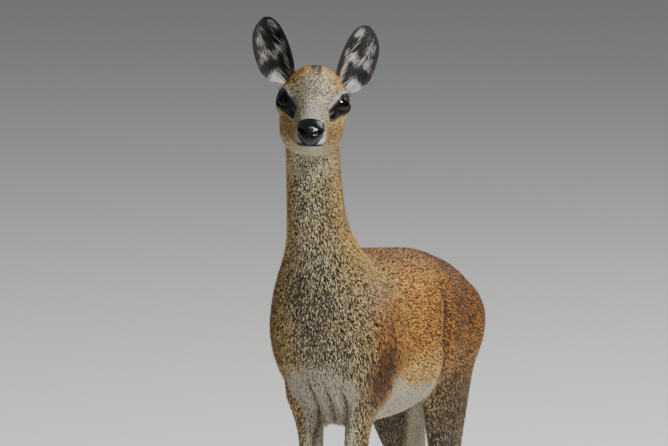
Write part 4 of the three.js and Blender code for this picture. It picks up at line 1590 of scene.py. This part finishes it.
def coat_head():
    """The coat of the head: fine and short, shortest on the face and round eyes and lips."""
    density = np.interp(-to_head(head_points)[:, 1], *HEAD_DENSITY)
    p, n = scatter(head_points, head_tris, head_normals, density)
    q = to_head(p)
    keep = ~bare_of_hair(p, q)
    p, n, q = p[keep], n[keep], q[keep]
    forward = -q[:, 1]
    length = np.interp(forward, *HEAD_LENGTH)
    for x in SIDES:
        length *= 1 - 0.45 * ramp(np.linalg.norm(q - eye_axes(x)[0], axis=1), 27, 18)
    jaw = ramp(q[:, 2], -24, -50) * ramp(forward, 74, 30)
    length *= (1 + 1.1 * jaw) * chance(len(p), 0.75, 0.5)
    width = np.interp(forward, *HEAD_WIDTH) * chance(len(p), 0.75, 0.5)
    crown = ramp(forward, 6, -14) * ramp(q[:, 2], 10, 28)
    lift = chance(len(p), 18, 16) + 10 * jaw + 10 * crown
    flow = head_lie(p, n)
    lie = tangent(flow + 0.25 * (rng.random((len(p), 3)) - 0.5), n)
    corners = slivers(p, n, lie, length, width, lift)
    marks = head_tones(p + lie * (HEAD_MARK * length)[:, None], n)
    base, tip = bands(p, n, flow, lie, length, HEAD_BANDS, marks, HEAD_DASHES)
    # The three corners at the root, darkened to 0.75, are painted shade in the coat.
    tones = np.stack([base * 0.75] * 3 + [tip], axis=1)
    on_crown = forward < 12
    for name, here, low, high in (("crown", on_crown, -20, 70), ("face", ~on_crown, -100, -5)):
        uv = wrapped(q[here], np.array([0, 0, -10.0]), (0, 1, 0), (0, 0, 1), low, high)
        coat_piece(f"coat_{name}", corners[here], tones[here], SLIVER_FACES, SLIVER_PATCH, uv)


def coat_ears():
    """The coat of the ears: short on the back and rim, and on the cup rows of long fine hair that
    sweep from the inner edge outwards and up, in pale streaks over dark skin."""
    for x in SIDES:
        points, _, _, tris, normals, tags = ears[x]
        density = np.where(tags[:, 2] > 0.5, *EAR_DENSITY)
        p, n, t = scatter(points, tris, normals, density, tags)
        u, v, cup = t.T
        up = unit(points[-1] - points[-2])
        outward = unit(HEAD_TURN @ np.array([x, 0.1, 0.15]))
        inside = cup > 0.5
        sweep = np.where(inside, 0.85 * ramp(u, 0.9, -0.6) - 0.5 * ramp(u, 0.2, 0.9), 0.0)
        lie = tangent(up + sweep[:, None] * outward + 0.22 * (rng.random((len(p), 3)) - 0.5), n)
        plain, share = ear_tones(u, v, cup)
        rows = np.stack([58 * (v - 0.5 * u), 3.0 * u, 0 * u], axis=1)
        mottle = 0.62 * cloud(rows, 0.8, 61) + 0.38 * rng.random(len(p))
        streak = ramp(0.5 + 0.72 * (share - 0.5) + 1.3 * (mottle - 0.5), 0.36, 0.56)
        tip = mixed(plain, INK * 1.5, streak) * chance((len(p), 1), 0.7, 0.5)
        length = np.where(inside, *EAR_HAIR) + 4.0 * (1 - streak) * inside
        length *= chance(len(p), 0.6, 0.8)
        length *= (1 - 0.6 * ramp(v, 0.7, 0.98)) * (1 - 0.5 * ramp(np.abs(u), 0.7, 0.95))
        width = np.where(inside, *EAR_WIDTH) * chance(len(p), 0.7, 0.6)
        lift = np.where(inside, *EAR_LIFT) * chance(len(p), 0.5, 1.0)
        corners = slivers(p, n, lie, length, width, lift)
        # The three corners at the root, darkened to 0.6, are painted shade in the coat.
        tones = np.stack([tip * 0.6] * 3 + [tip], axis=1)
        uv = np.stack([(u + 1) / 4 + np.where(inside, 0.5, 0), v], axis=1)
        coat_piece(f"coat_ear_{SIDE_NAME[x]}", corners, tones, SLIVER_FACES, SLIVER_PATCH, uv)


# How many lashes an eye has, between which turns from its outer corner, their mean length and
# half their thickness.
LASHES = 34
LASH_TURNS = (2, 104)
LASH_LENGTH, LASH_HALF = 6.5, 0.22


def lashes():
    """Black lashes along the outer half of each upper lid, fanned outwards and down."""
    for x in SIDES:
        middle, out, slant, rise = eye_axes(x)
        turn = np.radians(np.linspace(*LASH_TURNS, LASHES))[:, None] + 0.04 * rng.random((LASHES, 1))
        aim = almond_edge(turn, x)
        root = middle + aim * (EYE_RADIUS + 1.6)
        lie = unit(0.9 * out + 0.5 * np.cos(turn) * slant + 0.35 * rise - 0.1 * aim)
        across = LASH_HALF * unit(np.cross(lie, rise))
        tip = root + lie * LASH_LENGTH * chance((LASHES, 1), 0.7, 0.5) + 0.9 * slant
        corners = np.stack([root - across, root + across, root + LASH_HALF * rise, tip], axis=1)
        tones = np.tile(INK, (LASHES, 4, 1))
        uv = np.stack([np.linspace(0.1, 0.9, LASHES), np.full(LASHES, 0.5)], axis=1)
        name = f"lashes_{SIDE_NAME[x]}"
        coat_piece(name, from_head(corners), tones, SLIVER_FACES, SLIVER_PATCH, uv)


coat_body()
coat_head()
coat_ears()
lashes()

# Eyes, nose and hooves.


# Tones of the eyeball, and the reach of pupil and iris where the ball's radius is 1.
EYE_EDGE, EYE_BROWN, EYE_PUPIL = tone(6, 5, 4), tone(8, 5, 4), tone(2, 2, 3)
PUPIL_REACH = (0.36, 0.22)
IRIS_EDGE = (0.74, 0.66)


def eyeball(x):
    """A ball with a slightly raised cornea: rings round the line of sight, wider apart at the
    back. The tones run from a black pupil, wider than high, through a dark brown iris to black."""
    middle, out, slant, rise = eye_axes(x)
    turn = np.pi * np.linspace(0.002, 0.998, 60)[:, None, None] ** 1.15
    spin = 2 * np.pi * np.arange(72)[None, :, None] / 72
    reach = EYE_RADIUS - 0.25 + 0.55 * np.exp(-((turn / 0.55) ** 4))
    across = np.cos(spin) * slant + np.sin(spin) * rise
    grid = middle + reach * (np.cos(turn) * out + np.sin(turn) * across)
    points, quads, fans = sheath(grid)
    side = SIDE_NAME[x]
    ball = f"eye_ball_{side}"
    piece = bare_piece(ball, from_head(points), quads, fans, eye_material, "eye", f"eye_{side}")
    d = unit(points - middle)
    wide, high = d @ slant, d @ rise
    pupil = ramp(np.hypot(wide / PUPIL_REACH[0], high / PUPIL_REACH[1]), 1.1, 0.9)
    colours = np.tile(EYE_EDGE, (len(points), 1))
    colours = mixed(colours, EYE_BROWN, ramp(np.hypot(wide, high), *IRIS_EDGE))
    colours = mixed(colours, EYE_PUPIL, pupil)
    paint(piece, "iris", colours)


# The middles and radii of the two ellipsoids that hollow out a nostril.
NOSTRIL = (((9, -93, -31), (4.6, 5.4, 2.6)), ((13, -90, -28.5), (3.4, 3.6, 1.5)))


def nose_pad():
    """The bare nose over the end of the muzzle: ovals with a groove down the middle. Points inside
    an ellipsoid at each nostril move back along a slanted line to its far wall."""
    grid = rings(spaced(NOSE, 96), 150)
    p = grid.reshape(-1, 3)
    for x in SIDES:
        turn = turned("y", -24 * x) @ turned("z", -38 * x)
        inwards = unit(np.array([-0.25 * x, 1, -0.05]))
        for middle, radii in NOSTRIL:
            q = ((p - np.array(middle) * [x, 1, 1]) @ turn) / radii
            d = (inwards @ turn) / radii
            a, b, c = d @ d, q @ d, (q * q).sum(1) - 1
            root = np.sqrt(np.maximum(b * b - a * c, 0))
            travel = np.where(c < 0, (-b + root) / a, 0)
            p = p + travel[:, None] * inwards
    p[:, 1] += 0.9 * bell(p[:, 0], 0, 0.8) * ramp(p[:, 2], -26, -34) * (p[:, 1] < -86)
    grid = p.reshape(grid.shape)
    for _ in range(2):
        near = (np.roll(grid, 1, 1) + np.roll(grid, -1, 1)) / 2
        grid[1:-1] = 0.5 * grid[1:-1] + 0.25 * near[1:-1] + 0.125 * (grid[:-2] + grid[2:])
    points, quads, fans = sheath(grid)
    bare_piece("nose_pad", from_head(points), quads, fans, nose_material, "nose", "nose")


# Sections of a hoof from its top to the sole, from the middle of the toe, and of a dew claw from
# its root: the ends of each one's long axis, half its width and how far it leans outwards.
PEG = [
    ((10, HOOF_HEIGHT - 0.3), (-11, HOOF_HEIGHT - 0.3), 6.6, 0),
    ((9.5, 16), (-12, 16), 6.7, 0),
    ((7.5, 6), (-12.5, 6), 6.4, 0.3),
    ((5.5, 0.9), (-12, 0.9), 5.8, 0.5),
    ((4.6, 0), (-11, 0), 5, 0.5),
]
CONE = [
    ((0, 6), (-4, -2), 3.2, 0),
    ((4, 3), (-1, -4), 3.4, 0.6),
    ((7.5, -2), (3, -6.5), 2.6, 1.2),
    ((8.5, -5.5), (6.5, -7.5), 1.2, 1.6),
]

# How far a dew claw lies from the middle of its foot, and how high.
CLAW_SPREAD, CLAW_HEIGHT = 7, 58


def hooves():
    """Two blunt pegs to a foot, each a stack of ovals, and two small cones behind the fetlock."""
    for name, (x, rows) in LIMBS.items():
        foot, fetlock = rows[-1], rows[-4]
        toe = (foot[0] + foot[2]) / 2
        for out in SIDES:
            place = "outer" if out * x > 0 else "inner"
            peg = sections(PEG, out, toe, 0, foot[5] + out * TOE_SPREAD)
            cone = sections(CONE, out, fetlock[0] - 2.5, CLAW_HEIGHT, fetlock[5] + out * CLAW_SPREAD)
            for kind, shape, steps, sides in (("hoof", peg, 26, 36), ("dewclaw", cone, 22, 20)):
                surface = sheath(rings(filled(shape, steps), sides))
                node = f"{name}_{kind}_{place}"
                bare_piece(f"{kind}_{name}_{place}", *surface, horn_material, "horn", node)


for x in SIDES:
    eyeball(x)
nose_pad()
hooves()

# Floor, light and camera.


# Each light's name, place, size in metres and power in watts, and the point that all shine at.
LIGHTS = [
    ("key", (2.7, -1.3, 3.3), 0.6, 420),
    ("fill", (-2.4, -3.4, 1.7), 2.6, 5),
    ("back", (0.9, 3.2, 3.2), 2.0, 50),
    ("top", (0.8, -1.15, 3.7), 0.3, 75),
]
LIT_POINT = Vector((0, 0.02, 0.45))
SKY_TONE, SKY_STRENGTH = (0.86, 0.9, 0.95, 1), 0.17
FLOOR_TONE, FLOOR_HALF = (0.74, 0.73, 0.71, 1), 40.0


def studio():
    """A pale floor and four soft lights: a strong one high on the animal's left, a faint one before
    its right side, one behind it and a small one above its face, under an even pale sky."""
    corners = np.array([[-1, -1, 0], [1, -1, 0], [1, 1, 0], [-1, 1, 0]]) * FLOOR_HALF
    floor = mesh_object("floor", corners, np.array([[0, 1, 2, 3]]))
    material, _, shader = node_material("pale_floor", 0.9)
    shader.inputs["Base Color"].default_value = FLOOR_TONE
    floor.data.materials.append(material)
    for name, place, size, power in LIGHTS:
        light = bpy.data.lights.new(name, "AREA")
        light.energy = power
        light.size = size
        lamp = bpy.data.objects.new(name, light)
        lamp.location = place
        lamp.rotation_euler = (Vector(place) - LIT_POINT).to_track_quat("Z", "Y").to_euler()
        bpy.context.scene.collection.objects.link(lamp)
    world = bpy.data.worlds.new("pale_sky")
    world.use_nodes = True
    sky = world.node_tree.nodes["Background"]
    sky.inputs["Color"].default_value = SKY_TONE
    sky.inputs["Strength"].default_value = SKY_STRENGTH
    bpy.context.scene.world = world


# The camera's angles round and above, its distance, and the point that it shows at a pixel.
AZIMUTH, ELEVATION, DISTANCE = 24, 7, 8.5
PIXELS_PER_METRE = 870
TARGET, TARGET_PIXEL = SHIFT / 1000 + np.array([0.0, 0.0, 0.5455]), (386, 223)
IMAGE = (668, 446)
FILM_WIDTH = 36


def camera():
    """A long lens on the line of sight that puts the target at its pixel of the image."""
    a, e = np.radians(AZIMUTH), np.radians(ELEVATION)
    back = np.array([np.sin(a) * np.cos(e), -np.cos(a) * np.cos(e), np.sin(e)])
    right = np.array([np.cos(a), np.sin(a), 0])
    up = np.cross(back, right)
    offset = (np.array(TARGET_PIXEL) - np.array(IMAGE) / 2) / PIXELS_PER_METRE
    aim = TARGET - right * offset[0] + up * offset[1]
    lens = bpy.data.cameras.new("camera")
    lens.sensor_width = FILM_WIDTH
    lens.lens = FILM_WIDTH * PIXELS_PER_METRE * DISTANCE / IMAGE[0]
    lens.clip_end = 200
    view = bpy.data.objects.new("camera", lens)
    view.location = Vector(aim + back * DISTANCE)
    view.rotation_euler = Vector(back).to_track_quat("Z", "Y").to_euler()
    bpy.context.scene.collection.objects.link(view)
    bpy.context.scene.camera = view


studio()
camera()
